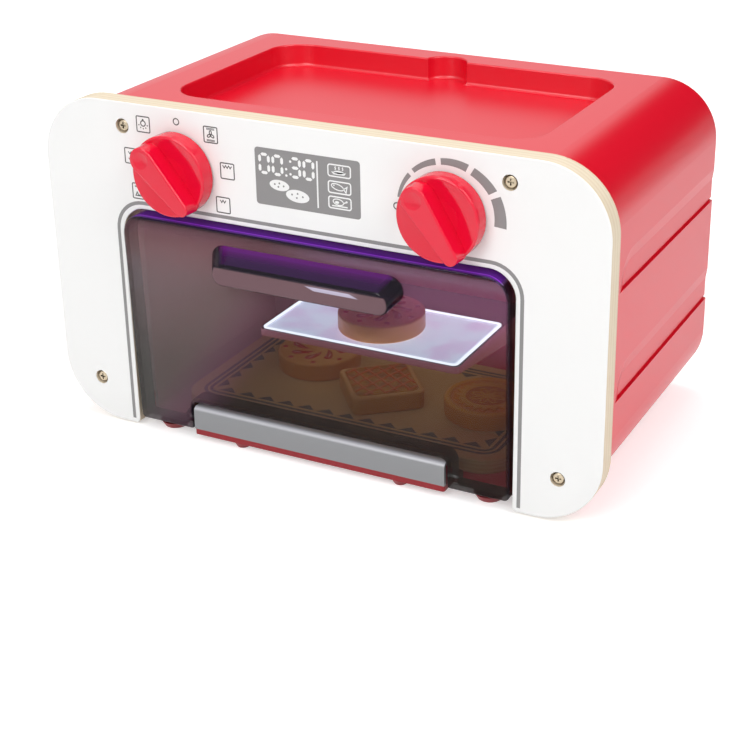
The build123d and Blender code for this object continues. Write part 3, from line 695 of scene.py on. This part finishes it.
def button_pictures(line):
    """A steaming dish, a fish and a roast, one on each button."""
    thin = line * 0.8
    steam = [[(x, 188.6), (x + 0.45, 189.2), (x, 189.9), (x + 0.45, 190.5)]
             for x in (18.6, 20.9, 23.2)]
    dish = [[[(16.2, 187.3), (25.6, 187.3), (24.2, 185.9), (17.6, 185.9)]],
            [circle(20.9, 187.3, 3.2, 20, 0.28)]] + [stroke(path, thin) for path in steam]
    fish = [stroke(circle(19.9, 178.7, 3.9, 28, 0.42, radians(-14)), thin, True),
            [circle(17.7, 179.5, 0.45, 8)],
            stroke([(23.7, 177.9), (25.9, 179.4), (25.2, 176.0)], thin, True)]
    roast = [stroke(circle(20.2, 170.0, 3.3, 24, 0.52, radians(-8)), thin, True),
             [circle(19.4, 169.8, 1.3, 16, 0.6)], stroke([(23.4, 169.7), (25.2, 170.5)], line),
             [circle(25.4, 170.7, 0.65, 10)], stroke([(16.2, 167.6), (26.0, 167.6)], line)]
    return dish + fish + roast


def white_shapes(line):
    """Everything printed in white on the display's plate."""
    shapes = []
    for place, lit in zip(digit_places, (zero, zero, three, zero)):
        for name in lit:
            x, z = segment_places[name]
            shapes.append([segment(place + x, z, "left" in name or "right" in name)])
    shapes += [[circle(*dot, 0.75, 12)] for dot in figure_dots]
    shapes.append(stroke([(7.3, 164.7), (7.3, 192.0)], line * 1.3))
    for middle, radius, dots in plates:
        holes = [circle(*dot, 0.62, 8)[::-1] for dot in dots]
        shapes.append([circle(*middle, radius, 36, 0.49, radians(-3))] + holes)
    shapes += [stroke(rounded(*box, 1.3, 4), line * 1.1, True) for box in button_boxes]
    return shapes + button_pictures(line)


class OVEN_OT_panel(bpy.types.Operator):
    """Paint and print the wooden front panel"""
    bl_idname = "oven.panel"
    bl_label = "Panel"

    def execute(self, context):
        settings = looks()
        line = settings.print_width / mm
        dress(painted_panel(settings.paint), "front_panel")
        # Painted shade in the screws' cross recesses.
        dress(metal("Screw plating", (0.62, 0.52, 0.38), rough=0.3, recess_shade=0.85), "panel_screws")
        grey = plain("Grey print", settings.ink, rough=0.45)
        dark = plain("Dark print", darker(settings.ink, 0.7), rough=0.45)
        white = plain("White print", darker(settings.paint, 0.02), rough=0.45)
        shapes = [(prism(loops, *print_layer, upright), ink)
                  for group, ink in ((grey_shapes(), grey), (sign_shapes(line), dark))
                  for loops in group]
        make_piece("panel_print", "oven", shapes)
        make_piece("display_figures", "oven",
                   [(prism(loops, *figure_layer, upright), white) for loops in white_shapes(line)])
        return {"FINISHED"}


# ---- the door and its hinge

# the colours of the door by place, mostly painted light and shade, and of the bar with its painted
# top light
edge_painted_shade = (0.008, 0.005, 0.012)
lit_haze_mauve = (0.31, 0.12, 0.23)
lit_haze_crown = (0.42, 0.25, 0.40)
lit_haze_corner = (0.28, 0.12, 0.13)
lit_haze_left = (0.19, 0.15, 0.155)
shaded_haze_foot = (0.105, 0.10, 0.095)
handle_lit_haze = (0.17, 0.095, 0.11)
handle_painted_shade = (0.01, 0.007, 0.012)
violet_lit_front = (0.03, 0.01, 0.05)
violet_lit_rear = (0.13, 0.01, 0.18)
violet_lit_flange = (0.06, 0.012, 0.16)
violet_glow = (0.25, 0.03, 0.55)
glint_white = (0.72, 0.76, 1.0)
bar_grey, bar_lit_top = (0.225, 0.23, 0.24), (0.50, 0.50, 0.54)
# the heights in metres between which a colour comes in or goes out
handle_from, handle_until = (0.09, 0.10), (0.15, 0.14)
handle_shade_strip = (0.1236, 0.1246)
painted_haze_from, corner_from = (0.08, 0.14), (0.10, 0.15)
foot_until = (0.11, 0.04)
# the same in millimetres below the door's top, and in front of the panel's face
brow_from, flange_from, crown_from = (3.4, 2.6), (8, 4), (12, 6)
handle_out, violet_out, glint_out = (4.5, 5.5), (12.5, 2.0), (10.6, 10.9)
gleam_out, gleam_in = (3.7, 3.3), (2.5, 2.9)
# a place's X less this share of its height says how far left it lies
left_lean = 0.75
left_from = (-0.075, -0.135)
# how far the surface looks up, and how far it turns from the front
upward_from, edge_shade_from = (0.64, 0.8), (0.95, 0.6)
# how opaque each place is: the clear plastic, and what its foot has more
top_cover, handle_cover, edge_cover = 0.97, 0.88, 0.8
clear_cover, foot_cover = 0.4, 0.06
flange_glow, gleam_glow, glint_glow = 0.1, 0.9, 0.55
# the slanting white glint on the front of the handle
glint_slope = 2.5
glint_ends = ((0.312, 0.314), (0.342, 0.340))
glint_heights = ((0.1206, 0.1210), (0.1232, 0.1228))


def smoked(tint):
    """Dark clear plastic with painted light and shade: a lit haze above and at the left, violet
    lamp light and glow on its top, black shade on its edges, and a highlight and glint on the
    handle.
    """
    material, tree, shader = new_material("Smoked plastic")
    place = object_position(tree)
    across, height, depth = (along(place, axis) for axis in "XZY")

    def under_top(start, end):
        """A rise between two heights, in millimetres below the door's top."""
        return rise(height, door_top - start * mm, door_top - end * mm)

    def in_front(start, end):
        """A rise between two places, in millimetres in front of the panel's face."""
        return rise(depth, at(-start), at(-end))

    upward = rise(normal(tree, "Z"), *upward_from)
    edge = greatest(rise(facing(tree, "Y"), *edge_shade_from), under_top(*brow_from))
    flange = times(upward, under_top(*flange_from))
    handle = in_front(*handle_out)
    handle_top = times(upward, rise(height, *handle_from), rise(height, *handle_until))
    top = greatest(flange, handle_top)
    leaning = calculate("SUBTRACT", across, times(height, left_lean))
    left = rise(leaning, *left_from)
    foot = rise(height, *foot_until)

    # Painted light and shade in the haze: the plastic's own milky haze, lit mauve above the shelf,
    # paler under the top, reddish in the upper left corner, grey at the left and darker toward its
    # foot; low on the right only the smoke's tint.
    painted_haze = blend(left, lit_haze_mauve, blend(foot, lit_haze_left, shaded_haze_foot))
    painted_haze = blend(under_top(*crown_from), painted_haze, lit_haze_crown)
    corner = times(left, rise(height, *corner_from))
    painted_haze = blend(corner, painted_haze, lit_haze_corner)
    painted_haze = blend(greatest(rise(height, *painted_haze_from), left), tint, painted_haze)
    # Painted shade and reflection on the handle's front: a black strip along its top, a lit haze
    # below it.
    front = blend(rise(height, *handle_shade_strip), handle_lit_haze, handle_painted_shade)
    # Painted black shade on the edges, and along the brow just under the door's top.
    colour = blend(edge, blend(handle, painted_haze, front), edge_painted_shade)
    # Painted violet light of the lamps on the top faces, stronger toward the rear, and a deeper
    # violet on the flange.
    violet_light = blend(in_front(*violet_out), violet_lit_front, violet_lit_rear)
    violet_light = blend(flange, violet_light, violet_lit_flange)
    cover = greatest(times(top, top_cover), times(handle, handle_cover), times(edge, edge_cover),
                     plus(times(foot, foot_cover), clear_cover))

    # Painted glow: violet on the flange, a highlight line along the handle's top and a slanting
    # reflection on its front.
    gleam = times(in_front(*gleam_out), in_front(*gleam_in), handle_top)
    slant = plus(across, times(height, glint_slope))
    glint = in_front(*glint_out)
    for value, spans in ((slant, glint_ends), (height, glint_heights)):
        for span in spans:
            glint = times(glint, rise(value, *span))
    glow = plus(times(flange, flange_glow), times(gleam, gleam_glow), times(glint, glint_glow))

    set_inputs(shader, Base_Color=blend(top, colour, violet_light), Alpha=cover,
               Emission_Color=blend(top, glint_white, violet_glow), Emission_Strength=glow,
               Roughness=0.04, IOR=1.45, Specular_IOR_Level=0.18)
    return material


def grey_plastic():
    """The hinge bar's grey plastic, painted paler along its top edge where the light from above
    falls.
    """
    material, tree, shader = new_material("Grey plastic")
    # Painted light: faces that look upward are paler.
    lit_top = rise(normal(tree, "Z"), 0.2, 0.7)
    set_inputs(shader, Base_Color=blend(lit_top, bar_grey, bar_lit_top), Roughness=0.28,
               Specular_IOR_Level=0.8)
    bump(shader, noise(object_position(tree), grain_scale, detail=1.0), 0.1, grain_depth)
    return material


class OVEN_OT_door(bpy.types.Operator):
    """Finish the smoked door, the hinge bar and the pins"""
    bl_idname = "oven.door"
    bl_label = "Door"

    def execute(self, context):
        dress(smoked(looks().smoke), "door")
        dress(grey_plastic(), "hinge_bar")
        dress(metal("Pin steel", (0.7, 0.7, 0.7), rough=0.15), "hinge_pins")
        return {"FINISHED"}


class OVEN_OT_dials(bpy.types.Operator):
    """Give the dials their gloss"""
    bl_idname = "oven.dials"
    bl_label = "Dials"

    def execute(self, context):
        dress(plain("Dial red", looks().dial, rough=0.1), "left_knob", "right_knob")
        return {"FINISHED"}


# ---- the cavity

lamp_white = (0.9, 0.95, 1.0)
lamp_power = 4.0
plate_blue, plate_violet = (0.66, 0.78, 1.0), (0.64, 0.60, 0.88)
# the shelf's light: round the plate, beneath, and low and high on its edge
rim_white, under_warm = (0.80, 0.88, 1.0), (1.0, 0.74, 0.46)
edge_low, edge_high = (0.30, 0.085, 0.08), (0.36, 0.12, 0.18)
rim_power, under_power = 1.9, 0.42
shelf_thick = 6
liner_red, liner_lit_pale = (0.80, 0.05, 0.12), (0.58, 0.36, 0.40)


def lit_plate(strength):
    """A milky plate that shines, with soft clouds of a second colour."""
    material, tree, shader = new_material("Light plate")
    cloud = noise(object_position(tree), scale=34.0, detail=3.0, roughness=0.6)
    set_inputs(shader, Emission_Color=blend(rise(cloud, 0.42, 0.62), plate_blue, plate_violet),
               Base_Color=plate_blue, Roughness=0.3, Emission_Strength=strength)
    return material


def shelf_finish(strength):
    """Plastic with a lit rim round the plate, its edge and underside warmed by the light."""
    material, tree, shader = new_material("Shelf")
    height = along(object_position(tree), "Z")
    rim = rise(height, (shelf_top + 0.1) * mm, (shelf_top + 0.2) * mm)
    under = rise(normal(tree, "Z"), -0.8, -0.95)
    side = rise(facing(tree, "Z"), 0.5, 0.2)
    warm = blend(rise(height, (shelf_top - shelf_thick) * mm, shelf_top * mm),
                 edge_low, edge_high)
    warm = blend(under, warm, under_warm)
    power = greatest(plus(times(rim, strength), times(under, under_power)), side)
    set_inputs(shader, Emission_Color=blend(rim, warm, rim_white),
               Emission_Strength=power, Base_Color=(0.06, 0.045, 0.05), Roughness=0.4)
    return material


def liner_finish():
    """Satin red plastic, painted paler toward its left side, where the lit plate's light falls."""
    material, tree, shader = new_material("Liner")
    # Painted light: paler toward the left.
    left = rise(along(object_position(tree), "X"), 0.06, -0.12)
    set_inputs(shader, Base_Color=blend(left, liner_red, liner_lit_pale), Roughness=0.5,
               Specular_IOR_Level=0.25)
    return material


class OVEN_OT_cavity(bpy.types.Operator):
    """Finish the liner and the lit shelf"""
    bl_idname = "oven.cavity"
    bl_label = "Cavity"

    def execute(self, context):
        glow = looks().glow
        dress(liner_finish(), "oven_liner")
        dress(shelf_finish(glow * rim_power), "lamp_shelf")
        dress(lit_plate(glow), "light_plate")
        dress(plain("Lamps", lamp_white, rough=0.3, Emission_Color=lamp_white,
                    Emission_Strength=lamp_power), "lamps")
        return {"FINISHED"}


class OVEN_OT_works(bpy.types.Operator):
    """Finish what the casing hides: screws, boards, cells, clicks"""
    bl_idname = "oven.works"
    bl_label = "Inner works"

    def execute(self, context):
        dress(metal("Screw steel", (0.62, 0.62, 0.62), rough=0.3), "base_screws", "liner_screws",
              "shelf_screws", "hatch_screw", "left_wheel_screw", "right_wheel_screw",
              "inner_screws")
        dress(metal("Spring steel", (0.66, 0.66, 0.68), rough=0.22), "battery_contacts",
              "click_springs")
        dress(moulded("Circuit board", (0.03, 0.18, 0.07), rough=0.35, grain=0.05), "lamp_board",
              "switch_board")
        dress(moulded("Black plastic", (0.02, 0.02, 0.022), rough=0.42), "battery_box",
              "lamp_switch")
        dress(moulded("Cell jacket", (0.06, 0.07, 0.09), rough=0.2, grain=0.0), "batteries")
        dress(moulded("Click wheel white", (0.72, 0.72, 0.70), rough=0.4), "left_click_wheel",
              "right_click_wheel")
        return {"FINISHED"}


# ---- the tray's border

tray_middle = (0.0, 82.0)
tray_half = (111.0, 61.0)
tray_corner = 20.0
border_insets = (9.2, 12.9)
border_width = 2.2
border_layer = (-0.05, 0.05)
triangle_inset = 16.0
triangle_size = (12.6, 5.8)
triangle_counts = (13, 6)
triangle_pitch = 14.2


class OVEN_OT_tray(bpy.types.Operator):
    """Finish the baking tray and print its border"""
    bl_idname = "oven.tray"
    bl_label = "Tray"

    def execute(self, context):
        dress(bare_board(), "baking_tray")
        grey = plain("Border print", darker(looks().ink, 0.35), rough=0.5)
        place = about(*tray_middle, tray_top)
        shapes = []
        for inset in border_insets:
            across, deep = (half - inset for half in tray_half)
            outline = rounded(-across, -deep, across, deep, tray_corner - inset, 8)
            line = stroke(outline, border_width, True)
            shapes.append((prism(line, *border_layer, place), grey))
        make_piece("tray_border_lines", "tray", shapes)
        wide, high = triangle_size
        centre = place(0, 0)
        rows = []
        for side, turn in ((1, 0), (1, 180), (0, 90), (0, 270)):
            count = triangle_counts[1 - side]
            reach = tray_half[side] - triangle_inset
            start = -(count - 1) / 2 * triangle_pitch
            shape = [(start - wide / 2, -reach), (start + wide / 2, -reach), (start, high - reach)]
            mesh = prism([shape], *border_layer, flat)
            row = repeated(mesh, grey, count, step=(triangle_pitch * mm, 0, 0))
            rows.append((repeated(row, grey, 1, centre=centre, turn=radians(turn)), grey))
        make_piece("tray_border_triangles", "tray", rows)
        return {"FINISHED"}


# ---- the biscuits

# middles across and behind the panel's face, and turns
berry_place = (-52, 98)
warming_place = (0, 87)
petal_place = (76, 81)
waffle_place = (7, 72)
waffle_turn = radians(40)
warming_turn = 0.3
# the jelly's drops, with their outer and inner reach, and the dots between them
drop_count = 8
drop_outer, drop_inner = 18.6, 6.8
drop_curl = radians(38)
drop_half, drop_high = 3.0, 0.75
dot_ring = 22.6
dot_shift = 0.42
# the waffle's ridges, which cross aslant
ridge_angles = (34, -72)
ridge_pitch, ridge_reach, shortest_ridge = 7.6, 19.3, 7
ridge_half, ridge_high = 0.75, 0.55
point_count, petal_count = 20, 8
point_layer, petal_layer = (0, 1.4), (0.6, 1.3)


def comma():
    """A jelly drop with a fat outer end and a curled tail, as a path and half widths."""
    path, widths = [], []
    for step in range(13):
        share = step / 12
        radius = drop_outer - (drop_outer - drop_inner) * share
        angle = drop_curl * share ** 1.4
        path.append((radius * cos(angle), radius * sin(angle)))
        swell = sin(pi * min(share * 1.8 + 0.12, 0.5))
        widths.append(drop_half * swell * (1 - share) ** 0.6 + 0.15)
    return path, widths


def ringed(mesh, material, count, middle, turn=0.0):
    """A shape repeated round a middle, with its material."""
    return repeated(mesh, material, count, middle, turn=turn, turn_step=2 * pi / count), material


def jelly(centre, top, material, shine, turn=0.0):
    """The ring of jelly drops and dots on a berry biscuit, with a pale glint on each drop."""
    middle = about(*centre, top)(0, 0)
    drop = dome(*comma(), drop_high, flat)
    glint = prism(stroke([(14.0, 3.2), (16.2, 2.3), (17.6, 0.9)], 0.55), 0.55, 0.8, flat)
    dot = stack([(circle(dot_ring, 0, radius, 16), height)
                 for radius, height in ((1.75, -0.2), (1.75, 0.1), (1.35, 0.4), (0.6, 0.5))], flat)
    dot_turn = turn + 2 * pi / drop_count * dot_shift
    return [ringed(drop, material, drop_count, middle, turn),
            ringed(glint, shine, drop_count, middle, turn),
            ringed(dot, material, drop_count, middle, dot_turn)]


def chords(angle, pitch, half):
    """The straight lines at an angle, a pitch apart, that cross a square."""
    ahead = Vector((cos(angle), sin(angle)))
    across = Vector((-ahead.y, ahead.x))
    lines = []
    for index in range(-4, 5):
        start = across * pitch * index
        low, high = -100.0, 100.0
        for middle, speed in zip(start, ahead):
            ends = sorted(((-half - middle) / speed, (half - middle) / speed))
            low, high = max(low, ends[0]), min(high, ends[1])
        if high - low > shortest_ridge:
            lines.append([tuple(start + ahead * low), tuple(start + ahead * high)])
    return lines


def spun(profile, count=72):
    """Rings for a round shape from (radius, height) pairs."""
    return [(circle(0, 0, radius, count), height) for radius, height in profile]


class OVEN_OT_biscuits(bpy.types.Operator):
    """Finish the four biscuits and lay on their icing"""
    bl_idname = "oven.biscuits"
    bl_label = "Biscuits"

    def execute(self, context):
        for name, top_colour, side_colour, top in (
                ("Berry", (0.86, 0.42, 0.14), (0.74, 0.27, 0.04), biscuit_top),
                ("Warming", (0.95, 0.44, 0.22), (0.85, 0.35, 0.08), warming_top),
                ("Waffle", (0.88, 0.48, 0.17), (0.76, 0.33, 0.05), biscuit_top)):
            dress(baked(name + " biscuit", top_colour, side_colour, top),
                  name.lower() + "_biscuit")
        red = plain("Berry jelly", (0.60, 0.01, 0.05), rough=0.15, Coat_Weight=0.6)
        glint = plain("Jelly glint", (0.9, 0.55, 0.58), rough=0.2)
        make_piece("berry_biscuit_jelly", "berry_biscuit",
                   jelly(berry_place, biscuit_top, red, glint))
        make_piece("warming_biscuit_jelly", "warming_biscuit",
                   jelly(warming_place, warming_top, red, glint, warming_turn))
        self.waffle()
        self.petals()
        return {"FINISHED"}

    def waffle(self):
        """The glazed waffle pattern: a thin slab with ridges that cross aslant."""
        glaze = glazed()
        ridge = plain("Waffle ridge", (0.85, 0.16, 0.02), rough=0.3)
        slab = [(rounded(-half, -half, half, half, radius), height) for half, radius, height
                in ((20, 4, -0.2), (20, 4, 0.2), (19.6, 3.6, 0.4))]
        shapes = [(stack(slab, about(*waffle_place, biscuit_top, waffle_turn)), glaze)]
        on_slab = about(*waffle_place, biscuit_top + 0.35, waffle_turn)
        for angle in ridge_angles:
            for line in chords(radians(angle), ridge_pitch, ridge_reach):
                shapes.append((dome(line, [ridge_half, ridge_half], ridge_high, on_slab), ridge))
        make_piece("waffle_biscuit_glaze", "waffle_biscuit", shapes)

    def petals(self):
        """The petal biscuit: a rim, a ring of points and a flower on a brown heart."""
        low = biscuit_top - biscuit_thick
        amber = baked("Petal biscuit", (0.90, 0.42, 0.03), (0.84, 0.30, 0.02), biscuit_top)
        brown = plain("Petal heart", (0.62, 0.20, 0.02), rough=0.6)
        place = about(*petal_place, low)
        body = spun(((25.4, 0), (26.5, 0.5), (27, 1.6), (27, 10.4), (26.6, 11.4), (25.6, 12),
                     (23.8, 12), (22.9, 11.4), (22.6, 10.7)))
        heart = spun(((14.2, 10.2), (14.2, 11.2), (13.6, 11.5)), 48)
        band = [circle(0, 0, 17.0, 60), circle(0, 0, 13.9, 60)[::-1]]
        shapes = [(stack(body, place), amber), (stack(heart, place), brown),
                  (prism(band, 10.3, 11.8, place), amber)]
        middle = place(0, 0, 10.4)
        point = prism([[(16.2, -2.7), (20.9, 0.0), (16.2, 2.7)]], *point_layer, flat)
        petal = prism(stroke(circle(6.6, 0, 4.1, 20, 0.42), 0.8, True), *petal_layer, flat)
        dot = prism([circle(0, 0, 1.7, 16)], *petal_layer, flat)
        for shape, count in ((point, point_count), (petal, petal_count), (dot, 1)):
            shapes.append(ringed(shape, amber, count, middle))
        piece = make_piece("petal_biscuit_shape", "petal_biscuit", shapes)
        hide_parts("petal_biscuit")


# ---- the stage

# where the camera stands and looks, with its azimuth to the right of the front
camera_place = Vector((0.435749, front_y - 0.737326, 0.463448))
camera_azimuth = radians(26.566)
camera_elevation = radians(22.971)
camera_roll = radians(-0.4626)
camera_lens = 77.727
camera_shift = (-0.05373, -0.08675)
# each lamp's name, place and power
lamps = (("Key", (-0.3, -1.9, 1.5), 27), ("Fill", (1.5, -0.5, 1.6), 21),
         ("Top", (-0.2, 0.3, 2.2), 15))
lamp_size = 1.2
lamp_target = Vector((0, 0, 0.1))
sky_level = 0.38
sky_gloss = 0.95
# the black part of the surround, as directions that gloss sees
dark_from = (("X", -0.32, -0.08), ("Y", 0.0, 0.3), ("Z", -0.02, 0.06))
floor_half = 6.0
# the floor's own light near the oven, what the far floor has more, and where it changes
floor_glow = 0.45
far_glow = 0.5
far_from = (0.7, 2.5)
mirrored_until = (1.4, 0.5)


def set_camera():
    """Place the camera at the product view."""
    data = bpy.data.cameras.new("Product view")
    data.lens = camera_lens
    data.sensor_width = 36.0
    data.shift_x, data.shift_y = camera_shift
    data.clip_start = 0.01
    data.clip_end = 50
    camera = add_object("Product view", data)
    place = Matrix.Translation(camera_place)
    for angle, axis in ((camera_azimuth, "Z"), (pi / 2 - camera_elevation, "X"),
                        (camera_roll, "Z")):
        place = place @ Matrix.Rotation(angle, 4, axis)
    camera.matrix_world = place
    bpy.context.scene.camera = camera


def set_world():
    """An even pale surround; gloss sees it brighter, and black behind on the right."""
    world = bpy.data.worlds.new("Studio")
    bpy.context.scene.world = world
    world.use_nodes = True
    tree = world.node_tree
    direction = tree.nodes.new("ShaderNodeTexCoord").outputs["Generated"]
    path = tree.nodes.new("ShaderNodeLightPath").outputs
    dark = path["Is Glossy Ray"]
    for axis, start, end in dark_from:
        dark = times(dark, rise(along(direction, axis), start, end))
    seen = greatest(path["Is Camera Ray"], path["Is Glossy Ray"])
    bright = blend(path["Is Camera Ray"], (sky_gloss,) * 3, (1.0, 1.0, 1.0))
    surround = blend(seen, (sky_level,) * 3, bright)
    set_inputs(tree.nodes["Background"], Color=blend(dark, surround, (0.0, 0.0, 0.0)))


def set_lamps():
    """Large soft lamps."""
    bpy.context.scene.view_settings.view_transform = "Standard"
    for name, place, power in lamps:
        data = bpy.data.lights.new(name, "AREA")
        data.size = lamp_size
        data.energy = power
        lamp = add_object(name, data)
        lamp.location = place
        lamp.rotation_euler = (lamp_target - Vector(place)).to_track_quat("-Z", "Y").to_euler()


def set_floor(colour):
    """A wide pale floor with its edge far outside the view."""
    mesh = bpy.data.meshes.new("Floor")
    half = floor_half
    mesh.from_pydata([(-half, -half, 0), (half, -half, 0), (half, half, 0), (-half, half, 0)], [],
                     [(0, 1, 2, 3)])
    floor = add_object("Floor", mesh)
    material, tree, shader = new_material("Floor")
    path = tree.nodes.new("ShaderNodeLightPath").outputs
    distance = tree.nodes.new("ShaderNodeVectorMath")
    distance.operation = "LENGTH"
    fill(distance.inputs[0], object_position(tree))
    away = distance.outputs["Value"]
    direct = greatest(path["Is Camera Ray"], path["Is Transmission Ray"])
    level = plus(times(rise(away, *far_from), far_glow), floor_glow)
    mirrored = times(path["Is Glossy Ray"], rise(away, *mirrored_until), floor_glow)
    set_inputs(shader, Base_Color=colour, Roughness=0.7, Emission_Color=(1.0, 1.0, 1.0),
               Emission_Strength=plus(times(direct, level), mirrored))
    mesh.materials.append(material)


class OVEN_OT_stage(bpy.types.Operator):
    """Set the camera, the lamps and the pale floor"""
    bl_idname = "oven.stage"
    bl_label = "Stage"

    def execute(self, context):
        set_camera()
        set_world()
        set_lamps()
        set_floor(looks().floor)
        return {"FINISHED"}


class OVEN_PT_panel(bpy.types.Panel):
    """Lists the oven's operators"""
    bl_idname = "OVEN_PT_panel"
    bl_label = "Toy oven"
    bl_space_type = "VIEW_3D"
    bl_region_type = "UI"
    bl_category = "Toy oven"

    def draw(self, context):
        for operator in operators:
            self.layout.operator(operator.bl_idname)
        for key in OvenLooks.__annotations__:
            self.layout.prop(context.scene.oven_looks, key)


operators = (OVEN_OT_casing, OVEN_OT_panel, OVEN_OT_door, OVEN_OT_dials, OVEN_OT_cavity,
             OVEN_OT_works, OVEN_OT_tray, OVEN_OT_biscuits, OVEN_OT_stage)
classes = (OvenLooks,) + operators + (OVEN_PT_panel,)


def register():
    """Add the classes and the settings to Blender."""
    for item in classes:
        bpy.utils.register_class(item)
    bpy.types.Scene.oven_looks = PointerProperty(type=OvenLooks)


def unregister():
    """Take the classes and the settings away again."""
    del bpy.types.Scene.oven_looks
    for item in reversed(classes):
        bpy.utils.unregister_class(item)


def main():
    """Register the classes and run every operator in order."""
    register()
    for operator in operators:
        section, name = operator.bl_idname.split(".")
        getattr(getattr(bpy.ops, section), name)()


if __name__ == "__main__":
    main()
